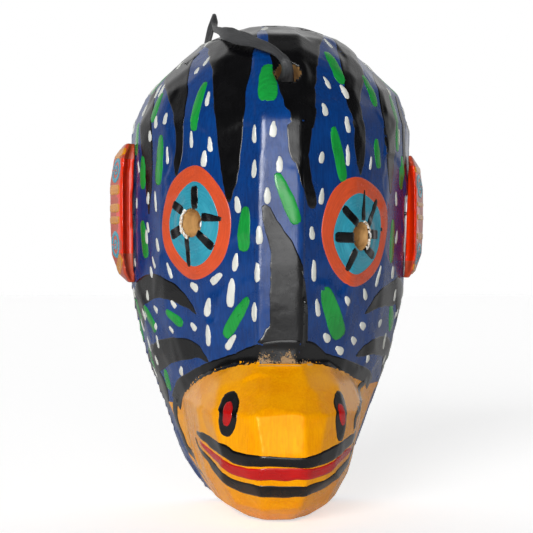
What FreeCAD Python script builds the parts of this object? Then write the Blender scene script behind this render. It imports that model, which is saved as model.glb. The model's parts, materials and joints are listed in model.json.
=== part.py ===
import FreeCAD
import Part
import math
import os

# Carved and painted wooden face mask with an animal muzzle, worn or hung from a leather thong.
# Millimetres. x runs across the face, y from the front (negative) to the open back, z up.
# The rim of the open back lies in the plane y = 0 and its lowest point is at z = 0.

# Driving dimensions
mask_height = 248.0
head_half_width = 76.0
face_depth = 92.0
muzzle_depth = 119.0
muzzle_half_width = 48.5
wall = 12.0
nose_strip_half = 10.5       # flat cut that runs down the middle of the face
facets_per_side = 5
head_fullness = 1.6          # 2 would be an ellipse, less is more pointed
crown_fullness = 2.0
muzzle_fullness = 2.5
brow_height = 196.0          # above this the forehead leans back
crown_lean = 2.5             # the crown was carved this far to the right of the middle
lean_start = 150.0
rim_lean_start = 178.0       # above this the rim leans forward, to clear the thong
rim_lean = 8.5               # degrees

eye_hole_diameter = 14.5
eye_hole_x = 42.5
eye_hole_depth = 66.0
left_eye_height = 144.5
right_eye_height = 138.0
eye_hole_turn = 62.0         # degrees that each hole is turned outwards
forehead_hole_diameter = 14.0
forehead_hole_mouth = (5.0, -75.5, 218.0)
forehead_hole_rise = 30.0    # degrees

nail_diameter = 1.8
nail_head_diameter = 4.2
nail_head_height = 1.2
nail_length = 17.0

thong_diameter = 4.6
knot_diameter = 12.0
knot_centre = (-1.5, -53.0, 200.0)
# Route of the thong: from the knot out of the forehead hole, over the crown to the folded peak
# that hangs on a nail, down behind the rim and through the hollow back to the knot.
thong_route = (
    knot_centre,
    (4.5, -66.5, 212.0),
    (5.0, -82.0, 221.0),
    (-0.5, -75.5, 228.2),
    (-7.5, -71.4, 232.2),
    (-16.5, -60.8, 236.4),
    (-24.8, -47.8, 241.3),
    (-28.6, -31.0, 245.4),
    (-29.5, -15.0, 248.5),
    (-29.0, -12.3, 255.5),
    (-29.5, -3.4, 255.5),
    (-32.0, -3.2, 245.5),
    (-34.5, -3.0, 235.0),
    (-33.0, -3.2, 221.0),
    (-28.5, -8.5, 209.5),
    (-21.0, -22.0, 203.5),
    (-12.0, -38.0, 201.0),
    knot_centre,
)

# Outlines from the bottom up: height, half width at the rim, depth, as shares of the sizes above
head_outline = (
    (0.016, 0.45, 0.54),
    (0.090, 0.61, 0.72),
    (0.194, 0.735, 0.87),
    (0.298, 0.860, 0.97),
    (0.403, 0.950, 0.99),
    (0.500, 0.99, 1.00),
    (0.645, 1.00, 1.00),
    (0.790, 1.00, 0.96),
    (0.863, 0.905, 0.85),
    (0.923, 0.705, 0.745),
    (0.968, 0.525, 0.61),
    (1.000, 0.30, 0.33),
)
muzzle_outline = (
    (0.000, 0.48, 0.71),
    (0.028, 0.69, 0.85),
    (0.080, 0.84, 0.945),
    (0.133, 0.92, 0.99),
    (0.218, 1.00, 0.985),
    (0.262, 0.93, 0.875),
    (0.302, 0.79, 0.76),
)

# Ears: height above the base, reach of the outer face and of the front lip, each as a share
ear_outline = (
    (0.00, 0.10),
    (0.06, 0.55),
    (0.20, 0.92),
    (0.45, 1.00),
    (0.72, 1.00),
    (0.90, 0.80),
    (1.00, 0.30),
)
ears = {
    "left": {"side": -1, "base": 114.5, "height": 73.0, "outer": 84.5},
    "right": {"side": 1, "base": 117.0, "height": 65.0, "outer": 83.0},
}
ear_back = 4.0
ear_front = 25.0
ear_band = 14.0              # front-to-back width of the painted outer face
ear_recess_depth = 9.0
ear_nail_height = 151.0


def vector(x, y, z):
    return FreeCAD.Vector(x, y, z)


def scaled(outline, half_width, depth):
    """Outline rows in millimetres."""
    return [(row[0] * mask_height, row[1] * half_width, row[2] * depth) for row in outline]


def hollowed(rows, thickness):
    """The same rows drawn in by the wall on every side."""
    low = rows[0][0]
    high = rows[-1][0]
    middle = (low + high) / 2
    shrink = 1 - 2 * thickness / (high - low)
    return [(middle + (z - middle) * shrink, w - thickness, d - thickness) for z, w, d in rows]


def facet_section(height, half_width, depth, fullness, strip, back):
    """Closed polygon from the left rim round the front to the right rim."""
    right = []
    for step in range(facets_per_side):
        angle = math.radians(90.0 * step / facets_per_side)
        x = half_width * math.cos(angle) ** (2 / fullness)
        y = -depth * math.sin(angle) ** (2 / fullness)
        right.append((x, y))
    right.append((min(strip, 0.3 * half_width), -depth))
    left = [(-x, y) for x, y in right]
    outline = left + right[::-1]
    if back > 0:
        outline = [(-half_width, back)] + outline + [(half_width, back)]
    lean = crown_lean * min(1.0, max(0.0, (height - lean_start) / 60.0))
    return [vector(x + lean, y, height) for x, y in outline]


def faceted_solid(sections):
    """Solid of flat facets through closed polygons that have the same number of points."""
    faces = [Part.Face(Part.makePolygon(end + [end[0]])) for end in (sections[0], sections[-1])]
    count = len(sections[0])
    for low, high in zip(sections, sections[1:]):
        for index in range(count):
            following = (index + 1) % count
            a, b = low[index], low[following]
            c, d = high[following], high[index]
            faces.append(Part.Face(Part.makePolygon([a, b, c, a])))
            faces.append(Part.Face(Part.makePolygon([a, c, d, a])))
    solid = Part.Solid(Part.Shell(faces))
    if solid.Volume < 0:
        solid.reverse()
    return solid.removeSplitter()


def fullness_at(height, base):
    share = max(0.0, (height - brow_height) / (mask_height - brow_height))
    return base + (crown_fullness - base) * share


def head_block(rows, back=0.0):
    sections = []
    for z, w, d in rows:
        sections.append(facet_section(z, w, d, fullness_at(z, head_fullness), nose_strip_half, back))
    return faceted_solid(sections)


def muzzle_block(rows, back=0.0):
    sections = [facet_section(z, w, d, muzzle_fullness, nose_strip_half, back) for z, w, d in rows]
    return faceted_solid(sections)


def drill(mouth, direction, diameter):
    """Straight bit that starts 12 mm outside the mouth and runs 34 mm past it."""
    way = vector(*direction)
    way.normalize()
    start = vector(*mouth) - way * 12.0
    return Part.makeCylinder(diameter / 2, 46.0, start, way)


def rim_relief():
    """Wedge that the leaning top of the rim is cut with."""
    wedge = Part.makeBox(300, 60, 120, vector(-150, 0, 0))
    wedge.rotate(vector(0, 0, 0), vector(1, 0, 0), rim_lean)
    wedge.translate(vector(0, 0, rim_lean_start))
    return wedge


def outer_block():
    head = head_block(scaled(head_outline, head_half_width, face_depth))
    muzzle = muzzle_block(scaled(muzzle_outline, muzzle_half_width, muzzle_depth))
    return head.fuse(muzzle).removeSplitter().cut(rim_relief())


def hollow():
    head = head_block(hollowed(scaled(head_outline, head_half_width, face_depth), wall), back=6.0)
    muzzle_rows = hollowed(scaled(muzzle_outline, muzzle_half_width, muzzle_depth), wall)
    return head.fuse(muzzle_block(muzzle_rows, back=6.0)).removeSplitter()


def eye_bit(side, height):
    turn = math.radians(eye_hole_turn)
    inward = (-side * math.sin(turn), math.cos(turn), 0.0)
    return drill((side * eye_hole_x, -eye_hole_depth, height), inward, eye_hole_diameter)


def forehead_bit():
    rise = math.radians(forehead_hole_rise)
    inward = (0.0, math.cos(rise), -math.sin(rise))
    return drill(forehead_hole_mouth, inward, forehead_hole_diameter)


def ear_section(ear, height, reach):
    """Ear cut level: back, painted outer band, front lip and the scooped recess."""
    side = ear["side"]
    inner = head_half_width - 12.0
    outer = head_half_width - 2.0 + (ear["outer"] - head_half_width + 2.0) * reach
    front = ear_back + (ear_front - ear_back) * (0.55 + 0.45 * reach)
    band_back = ear_back + 4.0
    band_front = min(front - 1.0, band_back + ear_band * (0.6 + 0.4 * reach))
    lip = outer - 5.5 * reach
    scoop = front - ear_recess_depth * reach
    points = (
        (inner, ear_back),
        (outer - 1.5, ear_back),
        (outer, band_back),
        (lip, band_front),
        (lip - 1.6, front),
        (lip - 3.0, scoop),
        (inner + 4.0, scoop),
        (inner + 2.0, front),
        (inner, front),
    )
    return [vector(side * x, -y, height) for x, y in points]


def ear_block(ear):
    sections = [ear_section(ear, ear["base"] + share * ear["height"], reach) for share, reach in ear_outline]
    return faceted_solid(sections)


def ear_nail(ear):
    """Round-headed nail driven through the floor of the recess into the head."""
    side = ear["side"]
    start = vector(side * (head_half_width + 1.0), -ear_front + ear_recess_depth + 2.0, ear_nail_height)
    inward = vector(-side, 0.25, 0)
    head = Part.makeCylinder(nail_head_diameter / 2, nail_head_height, start, inward)
    shank = Part.makeCylinder(nail_diameter / 2, nail_length, start, inward)
    return head.fuse(shank).removeSplitter()


def thong_tube():
    """Straight runs joined by tangent arcs, as large as the runs beside each point allow."""
    points = [vector(*point) for point in thong_route]
    edges = []
    radii = []
    last = points[0]
    for before, point, after in zip(points, points[1:], points[2:]):
        back = before - point
        onward = after - point
        reach = 0.45 * min(back.Length, onward.Length)
        half_turn = (math.pi - back.getAngle(onward)) / 2
        radius = reach / math.tan(half_turn)
        radii.append(round(radius, 1))
        back.normalize()
        onward.normalize()
        enter = point + back * reach
        leave = point + onward * reach
        inside = back + onward
        inside.normalize()
        middle = point + inside * (radius / math.cos(half_turn) - radius)
        edges.append(Part.LineSegment(last, enter).toShape())
        edges.append(Part.Arc(enter, middle, leave).toShape())
        last = leave
    edges.append(Part.LineSegment(last, points[-1]).toShape())
    path = Part.Wire(edges)
    section = Part.Wire(Part.makeCircle(thong_diameter / 2, points[0], points[1] - points[0]))
    tube = path.makePipeShell([section], True, False)
    return tube, path.Length, radii


os.makedirs("parts", exist_ok=True)
block = outer_block()
shell = block.cut(hollow())
for side, height in ((-1, left_eye_height), (1, right_eye_height)):
    shell = shell.cut(eye_bit(side, height))
shell = shell.cut(forehead_bit())
shapes = {}
for name, ear in ears.items():
    nail = ear_nail(ear)
    shell = shell.cut(nail)
    shapes[name + "_ear"] = ear_block(ear).cut(block).cut(nail)
    shapes[name + "_ear_nail"] = nail
shapes["mask_shell"] = shell
knot = Part.makeSphere(knot_diameter / 2, vector(*knot_centre))
tube, tube_length, tube_radii = thong_tube()
shapes["thong_knot"] = knot
shapes["hanging_thong"] = tube.cut(knot)
section_area = math.pi * thong_diameter ** 2 / 4
print("thong length", round(tube_length), "volume over section", round(tube.Volume / section_area), tube_radii)
for name, shape in shapes.items():
    box = shape.BoundBox
    print(name, shape.isValid(), len(shape.Solids), round(shape.Volume), box)
    shape.exportStep("parts/" + name + ".step")
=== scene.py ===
import bpy
import bmesh
import json
import math
import numpy as np
from mathutils import Vector, noise
from mathutils.bvhtree import BVHTree
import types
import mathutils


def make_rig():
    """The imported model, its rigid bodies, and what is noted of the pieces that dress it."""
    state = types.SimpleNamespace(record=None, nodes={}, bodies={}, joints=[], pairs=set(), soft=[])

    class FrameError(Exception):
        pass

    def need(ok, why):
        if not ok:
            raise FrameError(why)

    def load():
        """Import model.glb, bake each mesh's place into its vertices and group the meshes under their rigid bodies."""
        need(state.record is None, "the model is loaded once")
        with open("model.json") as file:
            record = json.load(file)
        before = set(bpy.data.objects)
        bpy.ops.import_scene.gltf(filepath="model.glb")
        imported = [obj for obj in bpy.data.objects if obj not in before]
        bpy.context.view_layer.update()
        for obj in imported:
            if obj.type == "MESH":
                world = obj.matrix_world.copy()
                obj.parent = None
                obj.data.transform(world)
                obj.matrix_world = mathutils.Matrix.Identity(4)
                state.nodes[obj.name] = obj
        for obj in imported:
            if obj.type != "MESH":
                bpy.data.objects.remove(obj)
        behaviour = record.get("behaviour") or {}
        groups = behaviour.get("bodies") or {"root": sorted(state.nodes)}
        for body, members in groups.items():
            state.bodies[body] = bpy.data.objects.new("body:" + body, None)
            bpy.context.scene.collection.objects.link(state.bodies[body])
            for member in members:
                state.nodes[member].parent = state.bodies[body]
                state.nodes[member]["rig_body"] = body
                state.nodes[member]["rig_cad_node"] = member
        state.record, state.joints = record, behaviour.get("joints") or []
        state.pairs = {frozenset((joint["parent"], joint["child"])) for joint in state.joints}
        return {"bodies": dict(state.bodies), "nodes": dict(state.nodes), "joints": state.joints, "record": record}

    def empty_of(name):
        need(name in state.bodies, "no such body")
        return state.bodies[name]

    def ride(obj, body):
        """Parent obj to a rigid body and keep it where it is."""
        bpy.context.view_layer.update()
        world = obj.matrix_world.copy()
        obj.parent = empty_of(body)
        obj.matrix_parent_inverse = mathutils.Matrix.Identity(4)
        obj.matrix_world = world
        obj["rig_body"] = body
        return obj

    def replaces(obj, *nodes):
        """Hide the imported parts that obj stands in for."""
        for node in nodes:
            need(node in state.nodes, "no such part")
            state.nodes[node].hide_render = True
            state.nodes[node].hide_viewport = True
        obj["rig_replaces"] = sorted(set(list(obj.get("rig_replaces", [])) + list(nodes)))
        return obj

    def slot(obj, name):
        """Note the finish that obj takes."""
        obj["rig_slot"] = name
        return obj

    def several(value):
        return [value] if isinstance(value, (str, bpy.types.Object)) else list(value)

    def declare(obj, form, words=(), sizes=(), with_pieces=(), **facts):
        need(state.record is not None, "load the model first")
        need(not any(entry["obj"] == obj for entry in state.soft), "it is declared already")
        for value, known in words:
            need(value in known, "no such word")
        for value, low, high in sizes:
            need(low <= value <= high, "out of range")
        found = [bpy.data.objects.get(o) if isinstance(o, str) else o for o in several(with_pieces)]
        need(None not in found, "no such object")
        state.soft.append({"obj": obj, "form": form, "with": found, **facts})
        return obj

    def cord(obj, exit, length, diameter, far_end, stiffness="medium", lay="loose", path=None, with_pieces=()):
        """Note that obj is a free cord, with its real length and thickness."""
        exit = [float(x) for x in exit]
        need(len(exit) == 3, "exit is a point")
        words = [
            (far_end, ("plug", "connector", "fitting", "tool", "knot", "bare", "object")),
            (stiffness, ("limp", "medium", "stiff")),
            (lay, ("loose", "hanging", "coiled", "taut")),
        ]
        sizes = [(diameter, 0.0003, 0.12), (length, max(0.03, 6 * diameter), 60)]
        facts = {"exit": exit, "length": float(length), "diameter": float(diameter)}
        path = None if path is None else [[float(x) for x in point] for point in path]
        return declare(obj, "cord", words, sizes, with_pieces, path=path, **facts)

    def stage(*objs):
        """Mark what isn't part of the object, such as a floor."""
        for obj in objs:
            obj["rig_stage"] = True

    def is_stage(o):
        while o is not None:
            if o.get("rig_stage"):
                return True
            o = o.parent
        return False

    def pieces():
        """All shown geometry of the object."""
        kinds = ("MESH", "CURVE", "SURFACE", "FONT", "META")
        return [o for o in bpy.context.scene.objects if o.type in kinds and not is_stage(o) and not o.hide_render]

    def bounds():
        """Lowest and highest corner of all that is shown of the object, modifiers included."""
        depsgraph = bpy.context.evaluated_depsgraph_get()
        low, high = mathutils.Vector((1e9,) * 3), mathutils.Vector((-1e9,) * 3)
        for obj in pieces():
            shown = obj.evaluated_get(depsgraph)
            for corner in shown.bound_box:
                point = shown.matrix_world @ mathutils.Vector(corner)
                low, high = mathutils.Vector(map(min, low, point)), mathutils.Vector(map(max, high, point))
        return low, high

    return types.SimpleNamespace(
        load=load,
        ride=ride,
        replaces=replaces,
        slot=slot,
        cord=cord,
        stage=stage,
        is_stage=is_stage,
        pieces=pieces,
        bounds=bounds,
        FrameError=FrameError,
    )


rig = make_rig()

# A carved and painted wooden animal mask with a leather hanging thong. Sizes in the dictionaries are in mm.
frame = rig.load()
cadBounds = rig.bounds()
scene = bpy.context.scene
scene.view_settings.view_transform = "Standard"
mm = 0.001


def inMetres(point):
    return Vector(point) * mm


def linearColour(code):
    # an sRGB hex colour as the linear values that a shader takes
    channels = [int(code[i:i + 2], 16) / 255 for i in (1, 3, 5)]
    linear = [c / 12.92 if c <= 0.04045 else ((c + 0.055) / 1.055) ** 2.4 for c in channels]
    return (*linear, 1.0)


def setInputs(tree, node, inputs):
    # inputs maps a socket's name or number to a value or to the output that feeds it
    for key, value in inputs.items():
        socket = node.inputs[key]
        if isinstance(value, bpy.types.NodeSocket):
            tree.links.new(value, socket)
        else:
            socket.default_value = value


def setStops(shade, *stops):
    # where along the ramp each colour stands
    for element, (position, colour) in zip(shade.color_ramp.elements, stops):
        element.position = position
        element.color = linearColour(colour)


def addNode(tree, kind, inputs=None, **settings):
    node = tree.nodes.new(kind)
    for name, value in settings.items():
        setattr(node, name, value)
    setInputs(tree, node, inputs or {})
    return node


def newMaterial(name):
    material = bpy.data.materials.new(name)
    material.use_nodes = True
    tree = material.node_tree
    return material, tree, tree.nodes["Principled BSDF"]


def addObject(name, data):
    thing = bpy.data.objects.new(name, data)
    scene.collection.objects.link(thing)
    return thing


def addPiece(name, mesh, slotName, material):
    piece = addObject(name, mesh)
    mesh.materials.append(material)
    mesh.polygons.foreach_set("use_smooth", [True] * len(mesh.polygons))
    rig.ride(piece, "root")
    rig.slot(piece, slotName)
    return piece


def joinMeshes(name, meshes):
    whole = bmesh.new()
    for part in meshes:
        whole.from_mesh(part)
    mesh = bpy.data.meshes.new(name)
    whole.to_mesh(mesh)
    whole.free()
    for part in meshes:
        bpy.data.meshes.remove(part)
    return mesh


def addPaint(name, films, paint, slotName="mask_shell"):
    # the films of one colour are one piece
    return addPiece(name, joinMeshes(name, films), slotName, paint)


cameraPlace = {
    "aim": (-4.5, -60.0, 122.9),    # mm, as is the distance
    "azimuth": -3.5,        # degrees, a little to the mask's own right
    "distance": 780.0,
    "lens": 105.4,
    "sensor": 36,
    "clipStart": 0.01,      # m
}

studio = {
    "floorSize": 12.0,      # m
    "floorTone": "#f4f4f4",
    "floorGlow": 0.58,      # the sheet of paper lies on a light table
    "floorSpill": 0.08,     # the part of that glow that lights the mask
    "floorDrop": 0.001,     # m that the paper lies under the mask
    "worldFront": 0.06,     # the room is dim in front of the mask, so that the gloss stays dark
    "worldBack": 0.9,
    "lightAim": (0, -0.05, 0.125),
    "stripSize": (0.30, 0.95),
    "stripPower": 4.6,
    "stripPlace": (0.115, -1.45, 0.17),
    "keyStrength": 2.7,
    "keyFrom": (-0.36, -0.92, 0.22),    # the way to the key light, from the mask
    "keySoftness": 26.0,    # degrees across
}


def aimed(name, data, place, target):
    thing = addObject(name, data)
    thing.location = place
    thing.rotation_euler = (Vector(target) - Vector(place)).to_track_quat("-Z", "Y").to_euler()
    return thing


def makeCamera():
    angle = math.radians(cameraPlace["azimuth"])
    aim = inMetres(cameraPlace["aim"])
    place = aim + Vector((math.sin(angle), -math.cos(angle), 0)) * cameraPlace["distance"] * mm
    data = bpy.data.cameras.new("camera")
    data.lens = cameraPlace["lens"]
    data.sensor_width = cameraPlace["sensor"]
    data.clip_start = cameraPlace["clipStart"]
    scene.camera = aimed("camera", data, place, aim)


def makeFloor():
    half, level = studio["floorSize"] / 2, -studio["floorDrop"]
    mesh = bpy.data.meshes.new("floor")
    corners = [(-half, -half, level), (half, -half, level), (half, half, level), (-half, half, level)]
    mesh.from_pydata(corners, [], [(0, 1, 2, 3)])
    material, tree, shader = newMaterial("whitePaper")
    # the glow is for the camera only, so that the gloss doesn't fill with it
    seen = addNode(tree, "ShaderNodeLightPath").outputs["Is Camera Ray"]
    glow = addNode(tree, "ShaderNodeMapRange", {
        "Value": seen, "To Min": studio["floorSpill"], "To Max": studio["floorGlow"]})
    setInputs(tree, shader, {
        "Base Color": linearColour(studio["floorTone"]), "Roughness": 0.9, "Specular IOR Level": 0.1,
        "Emission Color": (1, 1, 1, 1), "Emission Strength": glow.outputs[0]})
    mesh.materials.append(material)
    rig.stage(addObject("floor", mesh))


def makeRoom():
    scene.world = bpy.data.worlds.new("room")
    scene.world.use_nodes = True
    tree = scene.world.node_tree
    tree.nodes.clear()
    direction = addNode(tree, "ShaderNodeTexCoord").outputs["Generated"]
    parts = addNode(tree, "ShaderNodeSeparateXYZ", {"Vector": direction})
    # the room is bright behind the mask and dim everywhere else
    depth = addNode(tree, "ShaderNodeMapRange", {
        "Value": parts.outputs["Y"], "From Min": 0.15, "From Max": 0.8,
        "To Min": studio["worldFront"], "To Max": studio["worldBack"]}, interpolation_type="SMOOTHSTEP")
    seen = addNode(tree, "ShaderNodeLightPath").outputs["Is Camera Ray"]
    lit, plain = (addNode(tree, "ShaderNodeBackground", {"Color": (1, 1, 1, 1), "Strength": strength})
                  for strength in (depth.outputs["Result"], 1.0))
    mix = addNode(tree, "ShaderNodeMixShader", {0: seen, 1: lit.outputs[0], 2: plain.outputs[0]})
    addNode(tree, "ShaderNodeOutputWorld", {"Surface": mix.outputs[0]})


def makeLamps():
    middle = Vector(studio["lightAim"])
    strip = bpy.data.lights.new("stripBox", "AREA")
    strip.shape = "RECTANGLE"
    strip.size, strip.size_y = studio["stripSize"]
    strip.energy = studio["stripPower"]
    aimed("stripBox", strip, studio["stripPlace"], middle)
    key = bpy.data.lights.new("key", "SUN")
    key.energy = studio["keyStrength"]
    key.angle = math.radians(studio["keySoftness"])
    aimed("key", key, middle + Vector(studio["keyFrom"]), middle)


makeCamera()
makeFloor()
makeRoom()
makeLamps()
print("camera and studio are up")


# the route of the strap: out of the knot, through the forehead hole, over the crown to the folded peak, down
# behind the rim and back through the hollow to the knot
thongRoute = [
    (-1.5, -53.0, 200.0), (4.5, -66.5, 212.0), (5.0, -82.0, 221.0), (-0.5, -75.5, 228.2),
    (-7.5, -71.4, 232.2), (-16.5, -60.8, 236.4), (-24.8, -47.8, 241.3), (-28.6, -31.0, 245.4),
    (-29.5, -15.0, 248.5), (-29.0, -12.3, 255.5), (-29.5, -3.4, 255.5), (-32.0, -3.2, 245.5),
    (-34.5, -3.0, 235.0), (-33.0, -3.2, 221.0), (-28.5, -8.5, 209.5), (-21.0, -22.0, 203.5),
    (-12.0, -38.0, 201.0), (-1.5, -53.0, 200.0),
]

thongCut = {
    "length": 230.0,
    "width": 8.0,
    # the share of the length run, with the half thickness or half width there, or how far the flat side is
    # turned round the line in degrees
    "thickness": [(0, 1.0), (0.05, 2.8), (0.09, 3.2), (0.13, 2.2), (0.18, 1.2), (0.25, 0.85),
                  (0.36, 0.85), (0.41, 1.1), (0.48, 1.3), (0.56, 1.1), (0.7, 0.9), (1, 1.0)],
    "widths": [(0, 2.2), (0.05, 4.0), (0.09, 4.6), (0.125, 3.2), (0.18, 2.1), (0.24, 3.2), (0.30, 4.6),
               (0.355, 4.2), (0.40, 2.0), (0.44, 1.7), (0.48, 2.2), (0.56, 1.9), (0.70, 3.6), (0.85, 3.0),
               (1, 2.0)],
    "turns": [(0, 0), (0.12, 20), (0.20, 0), (0.34, 10), (0.42, 55), (0.48, 80), (0.58, 75), (0.7, 10),
              (1, 0)],
    "loopMiddle": (0, -20, 190),    # the flat side looks away from here
    "wobble": 0.10,                 # share by which the edges wander
    "wobbleRate": 160,              # waves in a metre
    "lineSteps": 10,
    "roundness": (0.6, 0.8),        # powers that square off a section's width and height
    "cup": 0.12,                    # share of the half thickness that the middle dips
}


def splinePoints(route, steps):
    # a curve with no bevel, read back as the points along its own line
    data = bpy.data.curves.new("route", "CURVE")
    data.dimensions = "3D"
    data.resolution_u = steps
    spline = data.splines.new("NURBS")
    spline.points.add(len(route) - 1)
    for point, place in zip(spline.points, route):
        point.co = (*inMetres(place), 1)
    spline.order_u = 3
    spline.use_endpoint_u = True
    holder = addObject("route", data)
    line = bpy.data.meshes.new_from_object(holder)
    points = [v.co.copy() for v in line.vertices]
    bpy.data.objects.remove(holder)
    bpy.data.curves.remove(data)
    bpy.data.meshes.remove(line)
    return points


def stepsAlong(points):
    lengths = [0.0]
    for a, b in zip(points, points[1:]):
        lengths.append(lengths[-1] + (b - a).length)
    return lengths


def readAt(pairs, share):
    xs, ys = zip(*pairs)
    return float(np.interp(share, xs, ys))


def finishStrip(mesh, stripAt):
    # each corner gets its place on the strip, u along it and v across it in metres, and faces look outwards
    layer = mesh.uv_layers.new(name="strip")
    for face in mesh.polygons:
        for loop in face.loop_indices:
            layer.data[loop].uv = stripAt(mesh.loops[loop].vertex_index)
    work = bmesh.new()
    work.from_mesh(mesh)
    loose = [v for v in work.verts if not v.link_faces]
    bmesh.ops.delete(work, geom=loose, context="VERTS")
    bmesh.ops.recalc_face_normals(work, faces=work.faces)
    work.to_mesh(mesh)
    work.free()
    return mesh


def ribbonMesh(name, points, sections, closed=False):
    # sections holds, for each point, the ring of corners round it
    mesh = bpy.data.meshes.new(name)
    count, ring = len(sections), len(sections[0])
    corners = [p for section in sections for p in section]
    faces = []
    for i in range(count if closed else count - 1):
        j = (i + 1) % count
        for k in range(ring):
            m = (k + 1) % ring
            faces.append((i * ring + k, i * ring + m, j * ring + m, j * ring + k))
    if not closed:
        faces.append(tuple(reversed(range(ring))))
        faces.append(tuple((count - 1) * ring + k for k in range(ring)))
    mesh.from_pydata([tuple(p) for p in corners], [], faces)
    run = stepsAlong(points)
    return finishStrip(mesh, lambda corner: (run[corner // ring], (corner % ring) / ring * 0.02))


def flatSection(centre, across, up, halfWidth, halfThick, ring=16):
    # a strap's section: a flattened ring with rounded edges and a slightly cupped face
    corners = []
    for k in range(ring):
        angle = 2 * math.pi * k / ring
        c, s = math.cos(angle), math.sin(angle)
        side = math.copysign(abs(c) ** thongCut["roundness"][0], c) * halfWidth
        rise = math.copysign(abs(s) ** thongCut["roundness"][1], s) * halfThick
        dip = thongCut["cup"] * halfThick * (1 - c * c)
        corners.append(centre + across * side + up * (rise - dip))
    return corners


def makeThong(leather):
    points = splinePoints(thongRoute, thongCut["lineSteps"])
    run = stepsAlong(points)
    middle = inMetres(thongCut["loopMiddle"])
    sections = []
    for i, point in enumerate(points):
        share = run[i] / run[-1]
        along = (points[min(i + 1, len(points) - 1)] - points[max(i - 1, 0)]).normalized()
        across = along.cross((point - middle).normalized()).normalized()
        up = across.cross(along)
        turn = math.radians(readAt(thongCut["turns"], share))
        across, up = (across * math.cos(turn) + up * math.sin(turn),
                      up * math.cos(turn) - across * math.sin(turn))
        wobble = thongCut["wobble"] * noise.noise(point * thongCut["wobbleRate"])
        halfWidth = readAt(thongCut["widths"], share) * (1 + wobble) * mm
        halfThick = readAt(thongCut["thickness"], share) * mm
        sections.append(flatSection(point, across, up, halfWidth, halfThick))
    piece = addPiece("hangingThong", ribbonMesh("hangingThong", points, sections), "leather", leather)
    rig.replaces(piece, "hanging_thong")
    return piece, points


knotTie = {
    "turnSteps": 96,
    "turnReach": 1.35,          # mm, a third of how far the turn reaches from its middle
    "turnDepth": 1.6,
    "turnHalf": (1.9, 1.15),    # half width and half thickness of the strap in the turn
    "tailSteps": 14,
    "tailLength": 15.0,
    "tailHalf": (1.9, 0.95),
    "tailSpread": 1.2,          # mm that a tail's half width grows towards its end
    "tails": [(-1, 0.35), (1, 0.15)],   # the side that each tail hangs on, and how far it leans back
    "ring": 12,
}


def makeKnot(leather):
    # an overhand knot: one trefoil turn of the two ends laid side by side, with both tails hanging out
    centre = inMetres(thongRoute[0])
    count, ring = knotTie["turnSteps"], knotTie["ring"]
    wide, thick = (half * mm for half in knotTie["turnHalf"])
    loop = []
    for i in range(count):
        t = 2 * math.pi * i / count
        reach = (2 + math.cos(3 * t)) * knotTie["turnReach"] * mm
        loop.append(centre + Vector((reach * math.cos(2 * t), knotTie["turnDepth"] * mm * math.sin(3 * t),
                                     reach * math.sin(2 * t))))
    sections = []
    for i, point in enumerate(loop):
        along = (loop[(i + 1) % count] - loop[i - 1]).normalized()
        across = along.cross(point - centre).normalized()
        sections.append(flatSection(point, across, across.cross(along), wide, thick, ring))
    parts = [ribbonMesh("knotTurn", loop, sections, closed=True)]
    last = knotTie["tailSteps"] - 1
    wide, thick = knotTie["tailHalf"]
    for side, lean in knotTie["tails"]:
        tail = []
        for i in range(last + 1):
            share = i / last
            fall = 2 + knotTie["tailLength"] * share * (0.9 + lean * 0.3)
            tail.append(centre + inMetres((side * (1.5 + 4.5 * share), 3 + 4 * share + lean * 4 * share ** 2,
                                           -fall)))
        cuts = []
        for i, point in enumerate(tail):
            along = (tail[min(i + 1, last)] - tail[max(i - 1, 0)]).normalized()
            across = along.cross(Vector((0, 1, 0.2 * side))).normalized()
            half = (wide + knotTie["tailSpread"] * i / last) * mm
            cuts.append(flatSection(point, across, across.cross(along), half, thick * mm, ring))
        parts.append(ribbonMesh("knotTail", tail, cuts))
    piece = addPiece("thongKnot", joinMeshes("thongKnot", parts), "leather", leather)
    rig.replaces(piece, "thong_knot")
    return piece


enamelLook = {
    "roughness": 0.2,
    "roughnessSpread": 0.12,
    "ior": 1.5,
    "streakSpacing": 0.9,   # mm between the hairs' furrows, coarser than a real brush so that they show
    "patchSize": 16.0,      # mm across a thicker or thinner patch of paint
    "bumpDepth": 0.05,      # mm
}


def rippleBump(tree, place, streaks, depth):
    # brush furrows and the slow unevenness of hand-laid paint, as a bump of the given depth in mm
    swell = addNode(tree, "ShaderNodeTexNoise", {"Vector": place, "Scale": 1 / (6.0 * mm), "Detail": 2.0})
    grit = addNode(tree, "ShaderNodeTexNoise", {"Vector": place, "Scale": 1 / (0.9 * mm), "Detail": 3.0})
    height = addNode(tree, "ShaderNodeMath", {0: swell.outputs["Fac"], 1: 2.2}, operation="MULTIPLY")
    for part, share in ((grit.outputs["Fac"], 0.35), (streaks, 0.8)):
        height = addNode(tree, "ShaderNodeMath", {0: part, 1: share, 2: height.outputs[0]},
                         operation="MULTIPLY_ADD")
    return addNode(tree, "ShaderNodeBump", {
        "Height": height.outputs[0], "Distance": depth * mm, "Strength": 1.0}).outputs["Normal"]


def brushedPatches(tree, place, streaks, detail):
    # how thick the paint lies and how dull it dried, from the furrows and the slower patches
    patches = addNode(tree, "ShaderNodeTexNoise", {
        "Vector": place, "Scale": 1 / (enamelLook["patchSize"] * mm), "Detail": detail, "Roughness": 0.6})
    both = addNode(tree, "ShaderNodeMath", {0: streaks, 1: patches.outputs["Fac"]}, operation="ADD")
    thick = addNode(tree, "ShaderNodeMapRange", {
        "Value": both.outputs[0], "From Min": 0.75, "From Max": 1.25})
    low = enamelLook["roughness"]
    dull = addNode(tree, "ShaderNodeMapRange", {
        "Value": patches.outputs["Fac"], "From Min": 0.3, "From Max": 0.7,
        "To Min": low, "To Max": low + enamelLook["roughnessSpread"]})
    return thick.outputs[0], dull.outputs[0]


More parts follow.
